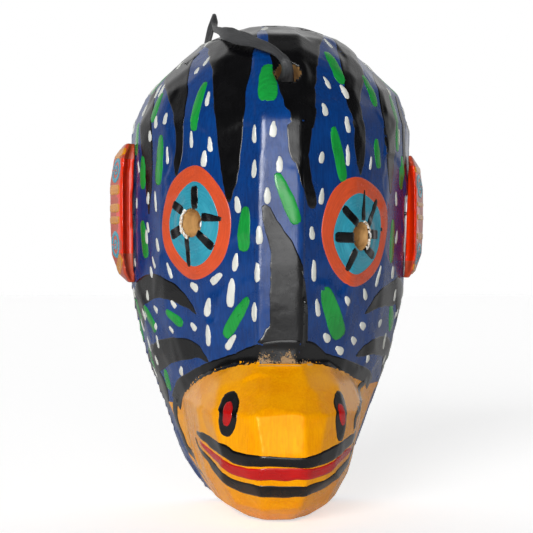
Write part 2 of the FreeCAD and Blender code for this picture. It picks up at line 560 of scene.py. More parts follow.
def glossEnamel(name, colour, deeper, along="UV"):
    # oil enamel brushed on over carved wood: a hard shine broken by furrows, with thick and thin patches
    material, tree, shader = newMaterial(name)
    coords = addNode(tree, "ShaderNodeTexCoord")
    place = coords.outputs["Object"]
    length = 10 * enamelLook["streakSpacing"] * mm
    spread = addNode(tree, "ShaderNodeMapping", {
        "Vector": coords.outputs[along], "Scale": (1 / length, 12 / length, 1 / length)})
    furrows = addNode(tree, "ShaderNodeTexNoise", {"Vector": spread.outputs[0], "Scale": 1.0, "Detail": 3.0})
    streaks = furrows.outputs["Fac"]
    thick, dull = brushedPatches(tree, place, streaks, 3.0)
    tone = addNode(tree, "ShaderNodeMix", {
        "Factor": thick, 6: linearColour(colour), 7: linearColour(deeper)}, data_type="RGBA")
    setInputs(tree, shader, {
        "Base Color": tone.outputs[2], "Roughness": dull, "IOR": enamelLook["ior"],
        "Normal": rippleBump(tree, place, streaks, enamelLook["bumpDepth"])})
    return material


def carvedWoodShades(tree, place):
    # soft pale copal wood: grain lines run up the block, about 2 mm apart, with darker flecks
    grain = addNode(tree, "ShaderNodeMapping", {"Vector": place, "Scale": (1, 1, 0.08)})
    rings = addNode(tree, "ShaderNodeTexNoise", {
        "Vector": grain.outputs[0], "Scale": 1 / (2.2 * mm), "Detail": 4.0, "Roughness": 0.6})
    stain = addNode(tree, "ShaderNodeTexNoise", {"Vector": place, "Scale": 1 / (28 * mm), "Detail": 3.0})
    both = addNode(tree, "ShaderNodeMath", {0: rings.outputs["Fac"], 1: 0.65, 2: stain.outputs["Fac"]},
                   operation="MULTIPLY_ADD")
    shade = addNode(tree, "ShaderNodeValToRGB", {"Fac": both.outputs[0]})
    setStops(shade, (0.55, "#7d5427"), (1.05, "#d3a566"))
    return shade.outputs["Color"], rings.outputs["Fac"]


def paintedCarving(name):
    # the block itself: blue enamel on the head, yellow on the muzzle and bare wood where the brush didn't go
    material, tree, shader = newMaterial(name)
    place = addNode(tree, "ShaderNodeTexCoord").outputs["Object"]
    wood, grain = carvedWoodShades(tree, place)
    ragged = addNode(tree, "ShaderNodeTexNoise", {"Vector": place, "Scale": 1 / (5 * mm), "Detail": 3.0})
    cover = addNode(tree, "ShaderNodeAttribute", attribute_name="paintCover").outputs["Fac"]
    edge = addNode(tree, "ShaderNodeMath", {0: ragged.outputs["Fac"], 1: 0.5, 2: cover},
                   operation="MULTIPLY_ADD")
    painted = addNode(tree, "ShaderNodeMapRange", {
        "Value": edge.outputs[0], "From Min": 0.60, "From Max": 0.66}).outputs[0]
    muzzle = addNode(tree, "ShaderNodeAttribute", attribute_name="muzzleCover").outputs["Fac"]
    onMuzzle = addNode(tree, "ShaderNodeMapRange", {
        "Value": muzzle, "From Min": -0.05, "From Max": 0.05}).outputs[0]
    drawn = addNode(tree, "ShaderNodeMapping", {"Vector": place, "Scale": (1, 1, 0.12)})
    furrows = addNode(tree, "ShaderNodeTexNoise", {
        "Vector": drawn.outputs[0], "Scale": 1 / (enamelLook["streakSpacing"] * mm), "Detail": 3.0})
    streaks = furrows.outputs["Fac"]
    thick, dull = brushedPatches(tree, place, streaks, 4.0)
    coats = []
    for colour, deeper in (("#023c80", "#012c66"), ("#f9a902", "#ea9100")):
        coat = addNode(tree, "ShaderNodeMix", {
            "Factor": thick, 6: linearColour(colour), 7: linearColour(deeper)}, data_type="RGBA")
        coats.append(coat.outputs[2])
    coat = addNode(tree, "ShaderNodeMix", {"Factor": onMuzzle, 6: coats[0], 7: coats[1]}, data_type="RGBA")
    tone = addNode(tree, "ShaderNodeMix", {"Factor": painted, 6: wood, 7: coat.outputs[2]}, data_type="RGBA")
    tint = addNode(tree, "ShaderNodeMix", {
        "Factor": onMuzzle, 6: (1, 1, 1, 1), 7: linearColour("#ffd070")}, data_type="RGBA")
    rough = addNode(tree, "ShaderNodeMix", {"Factor": painted, 2: 0.72, 3: dull})
    relief = addNode(tree, "ShaderNodeMix", {"Factor": painted, 2: grain, 3: streaks})
    setInputs(tree, shader, {
        "Base Color": tone.outputs[2], "Specular Tint": tint.outputs[2], "Roughness": rough.outputs[0],
        "IOR": enamelLook["ior"],
        "Normal": rippleBump(tree, place, relief.outputs[0], enamelLook["bumpDepth"])})
    return material


def wornEnamel(name, colour, under, share):
    # enamel rubbed through on the high spots, so that specks of the wood under it show
    material, tree, shader = newMaterial(name)
    place = addNode(tree, "ShaderNodeTexCoord").outputs["Object"]
    chips = addNode(tree, "ShaderNodeTexNoise", {
        "Vector": place, "Scale": 1 / (1.1 * mm), "Detail": 4.0, "Roughness": 0.7})
    zone = addNode(tree, "ShaderNodeTexNoise", {"Vector": place, "Scale": 1 / (14 * mm), "Detail": 2.0})
    wear = addNode(tree, "ShaderNodeAttribute", attribute_name="wear").outputs["Fac"]
    rubbed = addNode(tree, "ShaderNodeMath", {0: zone.outputs["Fac"], 1: chips.outputs["Fac"]},
                     operation="ADD")
    both = addNode(tree, "ShaderNodeMath", {0: wear, 1: 0.5, 2: rubbed.outputs[0]}, operation="MULTIPLY_ADD")
    bare = addNode(tree, "ShaderNodeMapRange", {
        "Value": both.outputs[0], "From Min": 1.62 - share, "From Max": 1.66 - share}).outputs[0]
    tone = addNode(tree, "ShaderNodeMix", {
        "Factor": bare, 6: linearColour(colour), 7: linearColour(under)}, data_type="RGBA")
    rough = addNode(tree, "ShaderNodeMapRange", {"Value": bare, "To Min": 0.26, "To Max": 0.6})
    film = addNode(tree, "ShaderNodeMath", {0: 1.0, 1: bare}, operation="SUBTRACT")
    setInputs(tree, shader, {
        "Base Color": tone.outputs[2], "Roughness": rough.outputs[0],
        "Normal": rippleBump(tree, place, film.outputs[0], 0.06)})
    return material


def chalkyGround(name):
    # the white gesso under chipped enamel: dead matt, with a little wood showing through
    material, tree, shader = newMaterial(name)
    place = addNode(tree, "ShaderNodeTexCoord").outputs["Object"]
    stain = addNode(tree, "ShaderNodeTexNoise", {"Vector": place, "Scale": 1 / (1.2 * mm), "Detail": 4.0})
    shade = addNode(tree, "ShaderNodeValToRGB", {"Fac": stain.outputs["Fac"]})
    setStops(shade, (0.38, "#b89a72"), (0.52, "#e9e7e1"))
    bump = addNode(tree, "ShaderNodeBump", {"Height": stain.outputs["Fac"], "Distance": 0.15 * mm})
    setInputs(tree, shader, {
        "Base Color": shade.outputs["Color"], "Roughness": 0.8, "Normal": bump.outputs["Normal"]})
    return material


def blackLeather(name):
    # vegetable-tanned strap dyed black: a low waxy shine, with the fibres pulled out along its length. The streaks'
    # paler grey is partly the fibres' own colour and partly a painted sheen on them
    material, tree, shader = newMaterial(name)
    coords = addNode(tree, "ShaderNodeTexCoord")
    along = addNode(tree, "ShaderNodeMapping", {"Vector": coords.outputs["UV"], "Scale": (0.1, 1.0, 1.0)})
    grain = addNode(tree, "ShaderNodeTexNoise", {
        "Vector": along.outputs[0], "Scale": 1 / (0.9 * mm), "Detail": 4.0, "Roughness": 0.65})
    fibresAndSheen = grain.outputs["Fac"]
    pores = addNode(tree, "ShaderNodeTexVoronoi", {
        "Vector": coords.outputs["Object"], "Scale": 1 / (0.5 * mm)})
    # the pale grey of the streaks is partly painted sheen on the fibres, partly their own greyer colour
    tone = addNode(tree, "ShaderNodeMix", {
        "Factor": fibresAndSheen, 6: linearColour("#08090a"), 7: linearColour("#4c4d4f")}, data_type="RGBA")
    rough = addNode(tree, "ShaderNodeMapRange", {"Value": fibresAndSheen, "To Min": 0.34, "To Max": 0.62})
    height = addNode(tree, "ShaderNodeMath", {0: pores.outputs["Distance"], 1: 0.25, 2: fibresAndSheen},
                     operation="MULTIPLY_ADD")
    bump = addNode(tree, "ShaderNodeBump", {"Height": height.outputs[0], "Distance": 0.45 * mm})
    setInputs(tree, shader, {
        "Base Color": tone.outputs[2], "Roughness": rough.outputs[0], "Normal": bump.outputs["Normal"]})
    return material


def drawnSteel(name):
    # a plain wire nail: grey drawn steel, dulled and lightly rusted
    material, tree, shader = newMaterial(name)
    place = addNode(tree, "ShaderNodeTexCoord").outputs["Object"]
    rust = addNode(tree, "ShaderNodeTexNoise", {"Vector": place, "Scale": 1 / (1.5 * mm), "Detail": 4.0})
    shade = addNode(tree, "ShaderNodeValToRGB", {"Fac": rust.outputs["Fac"]})
    setStops(shade, (0.45, "#77787a"), (0.7, "#5d3a22"))
    rough = addNode(tree, "ShaderNodeMapRange", {"Value": rust.outputs["Fac"], "To Min": 0.3, "To Max": 0.6})
    setInputs(tree, shader, {
        "Base Color": shade.outputs["Color"], "Metallic": 1.0, "Roughness": rough.outputs[0]})
    return material


leather = blackLeather("blackStrapLeather")
thong, thongLine = makeThong(leather)
knot = makeKnot(leather)
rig.cord(thong, exit=thongLine[0], length=thongCut["length"] * mm, diameter=thongCut["width"] * mm,
        far_end="knot", stiffness="limp", lay="loose", path=thongLine, with_pieces=[knot])
print("thong and knot are laid")


carving = {
    "meshStep": 1.5,        # mm between the points of the skin
    "cutSpacing": 13.0,     # mm between knife cuts on the outside
    "cutReach": 1.9,        # spacings that a cut may reach from its middle
    "cutDepth": 0.35,
    "deepestCut": 1.0,
    "cutTilt": 2.6,         # degrees that a cut leans off the surface
    "sameFacet": 0.86,      # a cut stays on wood that faces this nearly the same way, as a cosine
    "stripCalm": 0.25,      # the flat strip down the nose was planed smoother than the rest
    "stripHalf": 12.0,
    "stripFoot": 85.0,      # height where the strip starts
    "gougeSpacing": 15.0,   # mm between the gouge's scallops in the hollow
    "gougeDepth": 0.9,
    "gougeRadius": 28.0,
    "lip": 1.3,             # mm put back round the inner end of each drilled hole
    "rimDepth": 12.0,       # mm in front of the back that the rim takes up
    "smoothing": 4,
    "seed": 7,
}

drilling = {
    "eyes": [(-42.5, -66.0, 144.5), (42.5, -66.0, 138.0)],
    "eyeRadius": 7.25,
    "eyeTurn": 62.0,        # degrees that each sight hole slants in towards the nose
    "forehead": (5.0, -75.5, 218.0),
    "foreheadFall": 30.0,   # degrees that the thong's hole falls towards the hollow
    "foreheadRadius": 7.0,
    "length": 40.0,         # mm, more than any of them is long
    "wallGap": 0.7,         # mm off a hole's wall that still count as its wall
    "crispBand": 3.0,       # mm beside a hole that stay sharp, and as many again to fade out in
}

# x and y of the line that runs up the middle of the block, used to tell outside from inside
blockMiddle = (0.0, -30.0)


def meshArrays(mesh):
    points = np.empty(len(mesh.vertices) * 3)
    mesh.vertices.foreach_get("co", points)
    facing = np.empty(len(mesh.vertices) * 3)
    mesh.vertex_normals.foreach_get("vector", facing)
    edges = np.empty(len(mesh.edges) * 2, dtype=int)
    mesh.edges.foreach_get("vertices", edges)
    return points.reshape(-1, 3), facing.reshape(-1, 3), edges.reshape(-1, 2)


def smoothed(values, edges, rounds, pull=0.5):
    # each point moves part of the way to the mean of its neighbours
    count = np.bincount(edges.ravel(), minlength=len(values)).astype(float)
    count = count.reshape(-1, *[1] * (values.ndim - 1))
    for _ in range(rounds):
        total = np.zeros_like(values)
        np.add.at(total, edges[:, 0], values[edges[:, 1]])
        np.add.at(total, edges[:, 1], values[edges[:, 0]])
        values = values + (total / count - values) * pull
    return values


def remeshed(node, step):
    # an even skin over a copy of the CAD piece, whose loose triangles are merged first
    mesh = frame["nodes"][node].data.copy()
    work = bmesh.new()
    work.from_mesh(mesh)
    bmesh.ops.remove_doubles(work, verts=work.verts, dist=1e-6)
    work.to_mesh(mesh)
    work.free()
    holder = addObject("skin", mesh)
    evenSkin = holder.modifiers.new("skin", "REMESH")
    evenSkin.mode = "VOXEL"
    evenSkin.voxel_size = step * mm
    graph = bpy.context.evaluated_depsgraph_get()
    result = bpy.data.meshes.new_from_object(holder.evaluated_get(graph))
    result.materials.clear()
    bpy.data.objects.remove(holder)
    return result, mesh


def nearestFaces(mesh):
    return BVHTree.FromPolygons([v.co for v in mesh.vertices], [p.vertices for p in mesh.polygons])


def drilledHoles():
    # mouth, way in and radius of the two sight holes and of the thong's hole
    turn = math.radians(drilling["eyeTurn"])
    holes = []
    for side, mouth in zip((-1, 1), drilling["eyes"]):
        way = Vector((-side * math.sin(turn), math.cos(turn), 0))
        holes.append((inMetres(mouth), way, drilling["eyeRadius"] * mm))
    fall = math.radians(drilling["foreheadFall"])
    way = Vector((0, math.cos(fall), -math.sin(fall)))
    holes.append((inMetres(drilling["forehead"]), way, drilling["foreheadRadius"] * mm))
    return holes


def offAxis(point, hole):
    mouth, way, _ = hole
    offset = point - mouth
    return (offset - way * offset.dot(way)).length


def besideHoles(points, holes):
    # 1 on a drilled hole's wall and in the crisp band beside it, falling to 0 over the next such band
    near = np.zeros(len(points))
    for mouth, way, radius in holes:
        offset = points - np.array(mouth)
        along = offset @ np.array(way)
        reach = np.linalg.norm(offset - along[:, None] * np.array(way), axis=1) - radius
        close = np.clip(2 - reach / (drilling["crispBand"] * mm), 0, 1)
        near = np.maximum(near, close * (np.abs(along) < drilling["length"] * mm))
    return near


def outsideOf(mesh, points, holes):
    # 1 where the nearest CAD face looks away from the block's middle and isn't a hole's wall, 0 elsewhere
    tree = nearestFaces(mesh)
    answer = np.zeros(len(points))
    for i, point in enumerate(points):
        near, facing, _, _ = tree.find_nearest(Vector(point))
        away = near - Vector((blockMiddle[0] * mm, blockMiddle[1] * mm, near.z))
        drilled = any(offAxis(near, hole) < hole[2] + drilling["wallGap"] * mm
                      and (near - hole[0]).length < drilling["length"] * mm for hole in holes)
        answer[i] = 1.0 if away.dot(facing) > 0 and facing.y < 0.6 and not drilled else 0.0
    return answer


def spacedSites(points, allowed, spacing, rng):
    # places at least one spacing apart, picked in a random order
    order = rng.permutation(np.nonzero(allowed)[0])[:30000]
    kept = np.empty((0, 3))
    chosen = []
    for i in order:
        if len(kept) and ((kept - points[i]) ** 2).sum(1).min() < spacing ** 2:
            continue
        kept = np.vstack([kept, points[i]])
        chosen.append(i)
    return chosen


def knifeCuts(points, facing, outside, rng):
    # every cut is a flat plane that takes a sliver off what stands above it
    spacing = carving["cutSpacing"] * mm
    sink = np.zeros(len(points))
    for i in spacedSites(points, outside > 0.9, spacing, rng):
        lean = rng.normal(0, math.radians(carving["cutTilt"]), 3)
        plane = facing[i] + lean
        plane /= np.linalg.norm(plane)
        depth = carving["cutDepth"] * rng.uniform(0.5, 1.4) * mm
        offset = points - (points[i] - facing[i] * depth)
        near = np.nonzero((offset ** 2).sum(1) < (carving["cutReach"] * spacing) ** 2)[0]
        alike = facing[near] @ plane
        fall = -(offset[near] @ plane) / np.maximum(alike, 0.5)
        fall[alike < carving["sameFacet"]] = 0
        sink[near] = np.minimum(sink[near], fall)
    sink = np.maximum(sink, -carving["deepestCut"] * mm)
    calm = np.abs(points[:, 0]) < carving["stripHalf"] * mm
    calm &= points[:, 2] > carving["stripFoot"] * mm
    sink[calm] *= carving["stripCalm"]
    return points + facing * (sink * outside)[:, None]


def gougeScallops(points, facing, inside, rng):
    # shallow round-bottomed scoops side by side
    sink = np.zeros(len(points))
    for i in spacedSites(points, inside > 0.9, carving["gougeSpacing"] * mm, rng):
        away = ((points - points[i]) ** 2).sum(1)
        depth = carving["gougeDepth"] * rng.uniform(0.6, 1.2) * mm
        sink = np.maximum(sink, depth - away / (2 * carving["gougeRadius"] * mm))
    return points - facing * (sink * inside)[:, None]


def setAttribute(mesh, name, values):
    layer = mesh.attributes.new(name, "FLOAT", "POINT")
    layer.data.foreach_set("value", np.asarray(values, dtype=np.float32))


# the black band that parts the muzzle from the head, as (x, z, half width) seen from the front
bandLine = [
    (-49.5, 52.0, 5.0), (-47.0, 61.0, 4.5), (-41.5, 66.0, 4.3), (-34.5, 71.0, 4.0), (-27.0, 74.5, 4.0),
    (-20.0, 77.0, 4.2), (-13.0, 79.5, 5.0), (-5.5, 81.0, 6.0), (5.0, 81.5, 6.5), (15.0, 80.5, 6.2),
    (23.5, 76.5, 4.2), (32.5, 74.0, 3.6), (41.5, 70.0, 3.8), (48.0, 66.5, 3.8), (51.0, 62.0, 3.8),
]
jawDepth = 16.0     # mm in front of the back rim where the muzzle's paint stops on the flanks


def makeBlock():
    rng = np.random.default_rng(carving["seed"])
    mesh, cadMesh = remeshed("mask_shell", carving["meshStep"])
    points, facing, edges = meshArrays(mesh)
    holes = drilledHoles()
    outside = smoothed(outsideOf(cadMesh, points, holes), edges, 1)
    crisp = besideHoles(points, holes)
    soft = smoothed(points, edges, carving["smoothing"])
    points = soft + (points - soft) * crisp[:, None]
    # the even skin loses the thin lip where a hole breaks into the hollow, so it is built up again
    lip = crisp * (outside < 0.1) * (facing[:, 1] > 0.2)
    points += facing * (lip * carving["lip"] * mm)[:, None]
    points = knifeCuts(points, facing, outside * (1 - crisp), rng)
    inside = np.where((outside < 0.1) & (facing[:, 1] > -0.98), 1.0, 0.0)
    inside[(points[:, 1] > -carving["rimDepth"] * mm) & (facing[:, 1] > 0.9)] = 0
    inside = smoothed(inside, edges, 2)
    points = gougeScallops(points, facing, inside * (1 - crisp), rng)
    points += (smoothed(points, edges, 1, 0.35) - points) * (1 - crisp)[:, None]
    mesh.vertices.foreach_set("co", points.ravel())
    bandX, bandZ, _ = zip(*bandLine)
    below = np.interp(points[:, 0] / mm, bandX, bandZ) - points[:, 2] / mm
    forward = -points[:, 1] / mm - jawDepth
    setAttribute(mesh, "paintCover", outside)
    setAttribute(mesh, "muzzleCover", np.minimum(below, forward))
    mesh.update()
    piece = addPiece("carvedBlock", mesh, "mask_shell", paintedCarving("enamelOnCarvedWood"))
    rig.replaces(piece, "mask_shell")
    return piece, outside


block, outside = makeBlock()
print("block is carved:", len(block.data.polygons), "faces")


film = {
    "buried": 0.45,         # mm that a film's underside sinks into the wood
    "edgeSink": 0.08,       # mm that its edge dips under the surface
    "edge": 0.45,           # mm from the edge to the full thickness
    "step": 1.4,
    "wobble": 0.25,         # mm that a stroke's edge wanders
    "wobbleRate": 170,      # waves in a metre
    "lid": (24, 1.1),       # corners of a hole's lid, and mm that it laps past the hole
    "farAway": 0.3,         # m off that a line of sight starts
}

# the painted skin only, so that nothing lands on the hollow's side
paintedFaces = [p.vertices for p in block.data.polygons if min(outside[v] for v in p.vertices) > 0.45]


def boreLine(wood, hole, count, grow):
    # where a drilled hole, wider by grow mm, comes out through the wood, from its top round
    mouth, way, radius = hole
    level = way.cross(Vector((0, 0, 1))).normalized()
    upright = level.cross(way)
    line = []
    for k in range(count):
        angle = 2 * math.pi * k / count
        start = mouth + (level * math.sin(angle) + upright * math.cos(angle)) * (radius + grow * mm)
        hit = wood.ray_cast(start - way * 0.05, way, 0.08)[0]
        line.append(hit if hit is not None else wood.find_nearest(start)[0])
    return line


def liddedSkin(faces):
    # a lid over each drilled hole lets a stroke run evenly across it
    corners = [v.co.copy() for v in block.data.vertices]
    polygons = [tuple(face) for face in faces]
    bare = BVHTree.FromPolygons(corners, polygons)
    count, lap = film["lid"]
    for hole in drilledHoles():
        rim = boreLine(bare, hole, count, lap)
        first = len(corners)
        corners += [sum(rim, Vector()) / count] + rim
        looks = (rim[0] - corners[first]).cross(rim[1] - corners[first]).dot(hole[1])
        for k in range(count):
            a, b = first + 1 + k, first + 1 + (k + 1) % count
            polygons.append((first, a, b) if looks < 0 else (first, b, a))
    return BVHTree.FromPolygons(corners, polygons)


skin = liddedSkin(paintedFaces)


def landing(start, way, near):
    # where a straight line meets the painted skin, or the nearest place on it when the line passes beside it
    hit = skin.ray_cast(start, way)[0]
    return hit if hit is not None else skin.find_nearest(near)[0]


def onFront(x, z, depth=-30):
    start = Vector((x * mm, -film["farAway"], z * mm))
    return landing(start, Vector((0, 1, 0)), inMetres((x, depth, z)))


def onCrown(x, y):
    return landing(Vector((x * mm, y * mm, 0.4)), Vector((0, 0, -1)), inMetres((x, y, 240)))


def onFlank(y, z, side):
    start = Vector((side * film["farAway"], y * mm, z * mm))
    return landing(start, Vector((-side, 0, 0)), inMetres((side * 70, y, z)))


def curvedBetween(a, b, c, d, t):
    # a place on the smooth line from b to c, which comes from a and goes on to d
    return 0.5 * ((2 * b) + (c - a) * t + (2 * a - 5 * b + 4 * c - d) * t ** 2
                  + (3 * b - a - 3 * c + d) * t ** 3)


def throughPoints(points, widths, step):
    # a smooth line through the points, with the widths read along it
    rows = []
    last = len(points) - 1
    for i in range(last):
        a, b, c, d = points[max(i - 1, 0)], points[i], points[i + 1], points[min(i + 2, last)]
        count = max(1, round((c - b).length / step))
        for k in range(count + (1 if i == last - 1 else 0)):
            t = k / count
            width = widths[i] + (widths[i + 1] - widths[i]) * (t * t * (3 - 2 * t))
            rows.append((curvedBetween(a, b, c, d, t), width))
    return rows


def inHole(point, hole):
    # whether a point lies over a drilled hole
    return hole is not None and offAxis(point, hole) < 0.93 * hole[2]


def slabMesh(name, grid, facing, lifts, run, sides, ring=False, hole=None):
    # a film of paint: the top follows the wood at its lifts and the underside is buried in it
    mesh = bpy.data.meshes.new(name)
    rows, cols = len(grid), len(grid[0])
    buried = film["buried"] * mm
    top = [grid[i][k] + facing[i][k] * lifts[i][k] for i in range(rows) for k in range(cols)]
    under = [grid[i][k] - facing[i][k] * buried for i in range(rows) for k in range(cols)]
    size = rows * cols
    quads = []
    for i in range(rows if ring else rows - 1):
        j = (i + 1) % rows
        for k in range(cols - 1):
            quad = (i * cols + k, i * cols + k + 1, j * cols + k + 1, j * cols + k)
            if not inHole(sum((top[c] for c in quad), Vector()) / 4, hole):
                quads.append(quad)
    edges = {(quad[c], quad[(c + 1) % 4]) for quad in quads for c in range(4)}
    faces = quads + [tuple(c + size for c in reversed(quad)) for quad in quads]
    faces += [(b, a, a + size, b + size) for a, b in sorted(edges) if (b, a) not in edges]
    mesh.from_pydata([tuple(p) for p in top + under], [], faces)

    def stripAt(corner):
        row, column = divmod(corner % size, cols)
        return run[row], sides[row][column]

    return finishStrip(mesh, stripAt)


def snapped(point, wood=skin):
    return wood.find_nearest(point)[:2]


def brushStroke(points, widths, lift, step=film["step"], edge=film["edge"], wood=skin, hole=None):
    # one pull of the brush: a draped film, rough along its edges
    rows = throughPoints(points, [w * mm for w in widths], step * mm)
    centres = [snapped(place, wood)[0] for place, _ in rows]
    run = stepsAlong(centres)
    shift = points[0].x * 900 + points[-1].z * 700
    inner = max(2, round(2 * max(width for _, width in rows) / (step * mm)))
    grid, facing, lifts, sides = [], [], [], []
    for i, (_, width) in enumerate(rows):
        _, normal = snapped(centres[i], wood)
        along = (centres[min(i + 1, len(rows) - 1)] - centres[max(i - 1, 0)]).normalized()
        across = normal.cross(along).normalized()
        left, right = (width + noise.noise(Vector((shift, run[i] * film["wobbleRate"], place)))
                       * film["wobble"] * mm * min(1, width / mm) for place in (0, 9))
        rim = min(edge * mm, 0.4 * width)
        places = [-left + rim + (left + right - 2 * rim) * k / inner for k in range(inner + 1)]
        places = [-left] + places + [right]
        landed = [snapped(centres[i] + across * place, wood) for place in places]
        grid.append([near for near, _ in landed])
        facing.append([look for _, look in landed])
        sides.append(places)
        atEnd = i in (0, len(rows) - 1)
        lifts.append([(-film["edgeSink"] if atEnd or k in (0, len(places) - 1) else lift) * mm
                      for k in range(len(places))])
    return slabMesh("stroke", grid, facing, lifts, run, sides, hole=hole)


def frontStroke(rows, lift, crown=(), flank=(), depth=-30, **options):
    # crown rows are (x, y, half width) on the top and flank rows (side, y, z, half width), before the front's
    points = [onCrown(x, y) for x, y, _ in crown]
    points += [onFlank(y, z, side) for side, y, z, _ in flank]
    points += [onFront(x, z, depth) for x, z, _ in rows]
    widths = [w for _, _, w in crown] + [w for _, _, _, w in flank] + [w for _, _, w in rows]
    return brushStroke(points, widths, lift, **options)


blackStripes = {
    "lift": 0.13,
    "strokes": [
        # down the left of the forehead from the rim
        {"crown": [(-20, -2, 17), (-20.5, -30, 16)],
         "rows": [(-21.5, 233.5, 14), (-22, 220.5, 11), (-23.5, 205.5, 9), (-23.5, 197.5, 8.5),
                  (-23.5, 185.5, 7.5), (-23.5, 174, 6), (-23.5, 165, 4.5), (-24, 158, 2.5),
                  (-24, 153.5, 0.5)]},
        # the broad one from the crown to beside the nose
        {"crown": [(11, -2, 18), (11, -35, 16)],
         "rows": [(10.5, 236, 14.5), (10, 228, 13.5), (10, 221.5, 12.5), (10.5, 211, 10.5),
                  (11, 203.5, 9), (11, 190.5, 7.5), (10.5, 180.5, 6.5), (11, 173.5, 5),
                  (12.5, 167, 4), (13, 163.5, 3.8), (15, 158, 3.6), (16, 153, 3.2), (16, 150.5, 1)]},
        # up the nose from the muzzle band
        {"rows": [(-8.5, 152.5, 0.5), (-6.5, 150, 2.5), (-5, 145, 3.5), (-2.5, 139.5, 4.5), (1, 132, 6),
                  (3, 123.5, 8), (4.5, 118, 9.5), (5.5, 108, 10.5), (6, 94.5, 11), (5, 88.5, 13),
                  (4, 83, 16)]},
        {"crown": [(-43, -15, 12), (-44.5, -24, 12)],
         "rows": [(-47.5, 226.5, 11), (-48.5, 212, 7.5), (-48, 199.5, 4.5), (-48, 191, 3.2),
                  (-48, 181.5, 2.8), (-49, 175.5, 3), (-49.5, 169.5, 1.5), (-50, 167.5, 0.5)]},
        {"rows": [(-61, 215, 3), (-64, 204, 6.5), (-65, 189.5, 6.5), (-64, 177, 5.2), (-63.5, 165, 4),
                  (-63.5, 152.5, 1.5), (-63.5, 149.5, 0.5)]},
        {"crown": [(37, -15, 10), (37.5, -24, 9)],
         "rows": [(39, 233, 7.5), (39.8, 224.5, 8.5), (39, 210.5, 6), (38.7, 204.5, 5),
                  (40.5, 198.5, 4.8), (41, 195, 4.6), (42, 191.5, 4.8), (42, 184.5, 4.8),
                  (42, 180, 4.3), (42, 175, 3.4), (42, 170.5, 1.5), (42, 168, 0.5)]},
        {"rows": [(56, 223, 4), (58, 213.5, 7.5), (60, 201, 8), (60.5, 189, 7), (60.5, 176.5, 5.2),
                  (60.5, 164.5, 2.8), (60.5, 160, 0.8)]},
        {"rows": [(66, 213, 1.5), (69, 200, 3.2), (70, 184, 2.8), (70.5, 171, 1)]},
        # leaves that reach in from the cheeks
        {"flank": [(-1, -4, 96, 9), (-1, -12, 101, 9)],
         "rows": [(-68, 109, 7.5), (-60.5, 113, 6.5), (-52.5, 110.5, 5), (-47, 107, 4), (-42.5, 103, 2),
                  (-39.5, 99, 0.4)]},
        {"flank": [(-1, -3, 52, 8), (-1, -14, 61, 9)],
         "rows": [(-62, 71, 8), (-58, 77, 7.5), (-51.5, 80.5, 6.5), (-44.5, 81.5, 5.7), (-39.5, 81, 4),
                  (-36, 78, 2), (-33.5, 75.5, 0.5)]},
        {"flank": [(1, -4, 97, 9), (1, -14, 103, 9)],
         "rows": [(67, 110.5, 7.5), (63.5, 109, 7), (57, 107.5, 5.5), (52, 105, 4), (48, 101.5, 2),
                  (45, 99, 0.4)]},
        {"flank": [(1, -3, 62, 7), (1, -14, 71, 7)],
         "rows": [(61, 79.5, 6), (58, 81.5, 5.5), (51.5, 82, 4.5), (46.5, 80.5, 3.5), (43, 79, 2),
                  (40.5, 78, 0.4)]},
    ],
}

muzzleLines = {
    "lift": 0.16,
    "strokes": [
        # down the left flank to the chin, and down the right one to the corner of the mouth
        [(-48.5, 58.5, 3), (-50, 50, 2.6), (-49, 42, 2.5), (-46, 34, 2.6), (-43, 27, 2.8),
         (-39, 21.5, 2.5), (-36, 18, 1.6), (-34, 15.5, 0.6)],
        [(47.5, 64, 2.4), (43, 57.5, 2.2), (38.5, 51, 2), (37, 43.5, 2)],
    ],
}

mouth = {
    "blackLift": 0.2,
    "redLift": 0.34,
    "upper": [(-39.5, 41, 1), (-36, 40, 2.4), (-32.5, 38, 3), (-28, 36, 3.4), (-23.5, 33.5, 3.5),
              (-19, 32.5, 3.4), (-13.5, 32.5, 3), (-6.5, 32.5, 2.8), (0.5, 32, 2.7), (7.5, 31.7, 2.7),
              (13.5, 32, 3.2), (20.5, 33.5, 3.6), (27, 35.5, 3.5), (34, 38.5, 3), (38.5, 41, 2)],
    "red": [(-38, 37.5, 0.5), (-35, 34.5, 1.5), (-31.5, 32, 2.1), (-28, 29.5, 2.6), (-24.5, 27.5, 2.9),
            (-20, 26.5, 3), (-14.5, 26, 3.1), (-7, 26.3, 3.4), (1, 26, 3.6), (7.5, 26.3, 3.1),
            (15, 26.2, 3), (22, 27.5, 2.9), (27, 30.2, 2.2), (32.5, 33, 1.9), (36, 35, 0.8)],
    "lower": [(-40, 38, 1), (-38.5, 34, 1.2), (-35, 30.2, 2), (-31.5, 26, 3), (-28, 22.5, 3.2),
              (-23.5, 19.7, 3.6), (-18.5, 18.4, 3.9), (-12.5, 17.9, 4), (-6, 17.4, 4), (1, 17.1, 4),
              (7, 17.4, 3.7), (14, 18, 3.6), (21.5, 19.8, 3.5), (26.5, 22.5, 3.4), (31.5, 26, 3),
              (35.5, 30.5, 2.2), (38, 36, 1.4)],
}

nostrils = {
    "blackLift": 0.16,
    "redLift": 0.3,
    # (x, top z, bottom z, half width, lean of the top towards +x) of each oval
    "black": [(-25.4, 63.5, 42.5, 6.2, 1.3), (28.9, 63, 39.5, 5.3, 0.4)],
    "red": [(-25.6, 59, 47.5, 3.2, 0.8), (29.2, 57.5, 47, 2.9, -0.8)],
}


def ovalRows(x, top, bottom, halfWidth, lean, count=9):
    rows = []
    for i in range(count):
        angle = math.pi * i / (count - 1)
        height = (top + bottom) / 2 + (top - bottom) / 2 * math.cos(angle)
        rows.append((x + lean * math.cos(angle), height, max(0.3, halfWidth * math.sin(angle) ** 0.8)))
    return rows


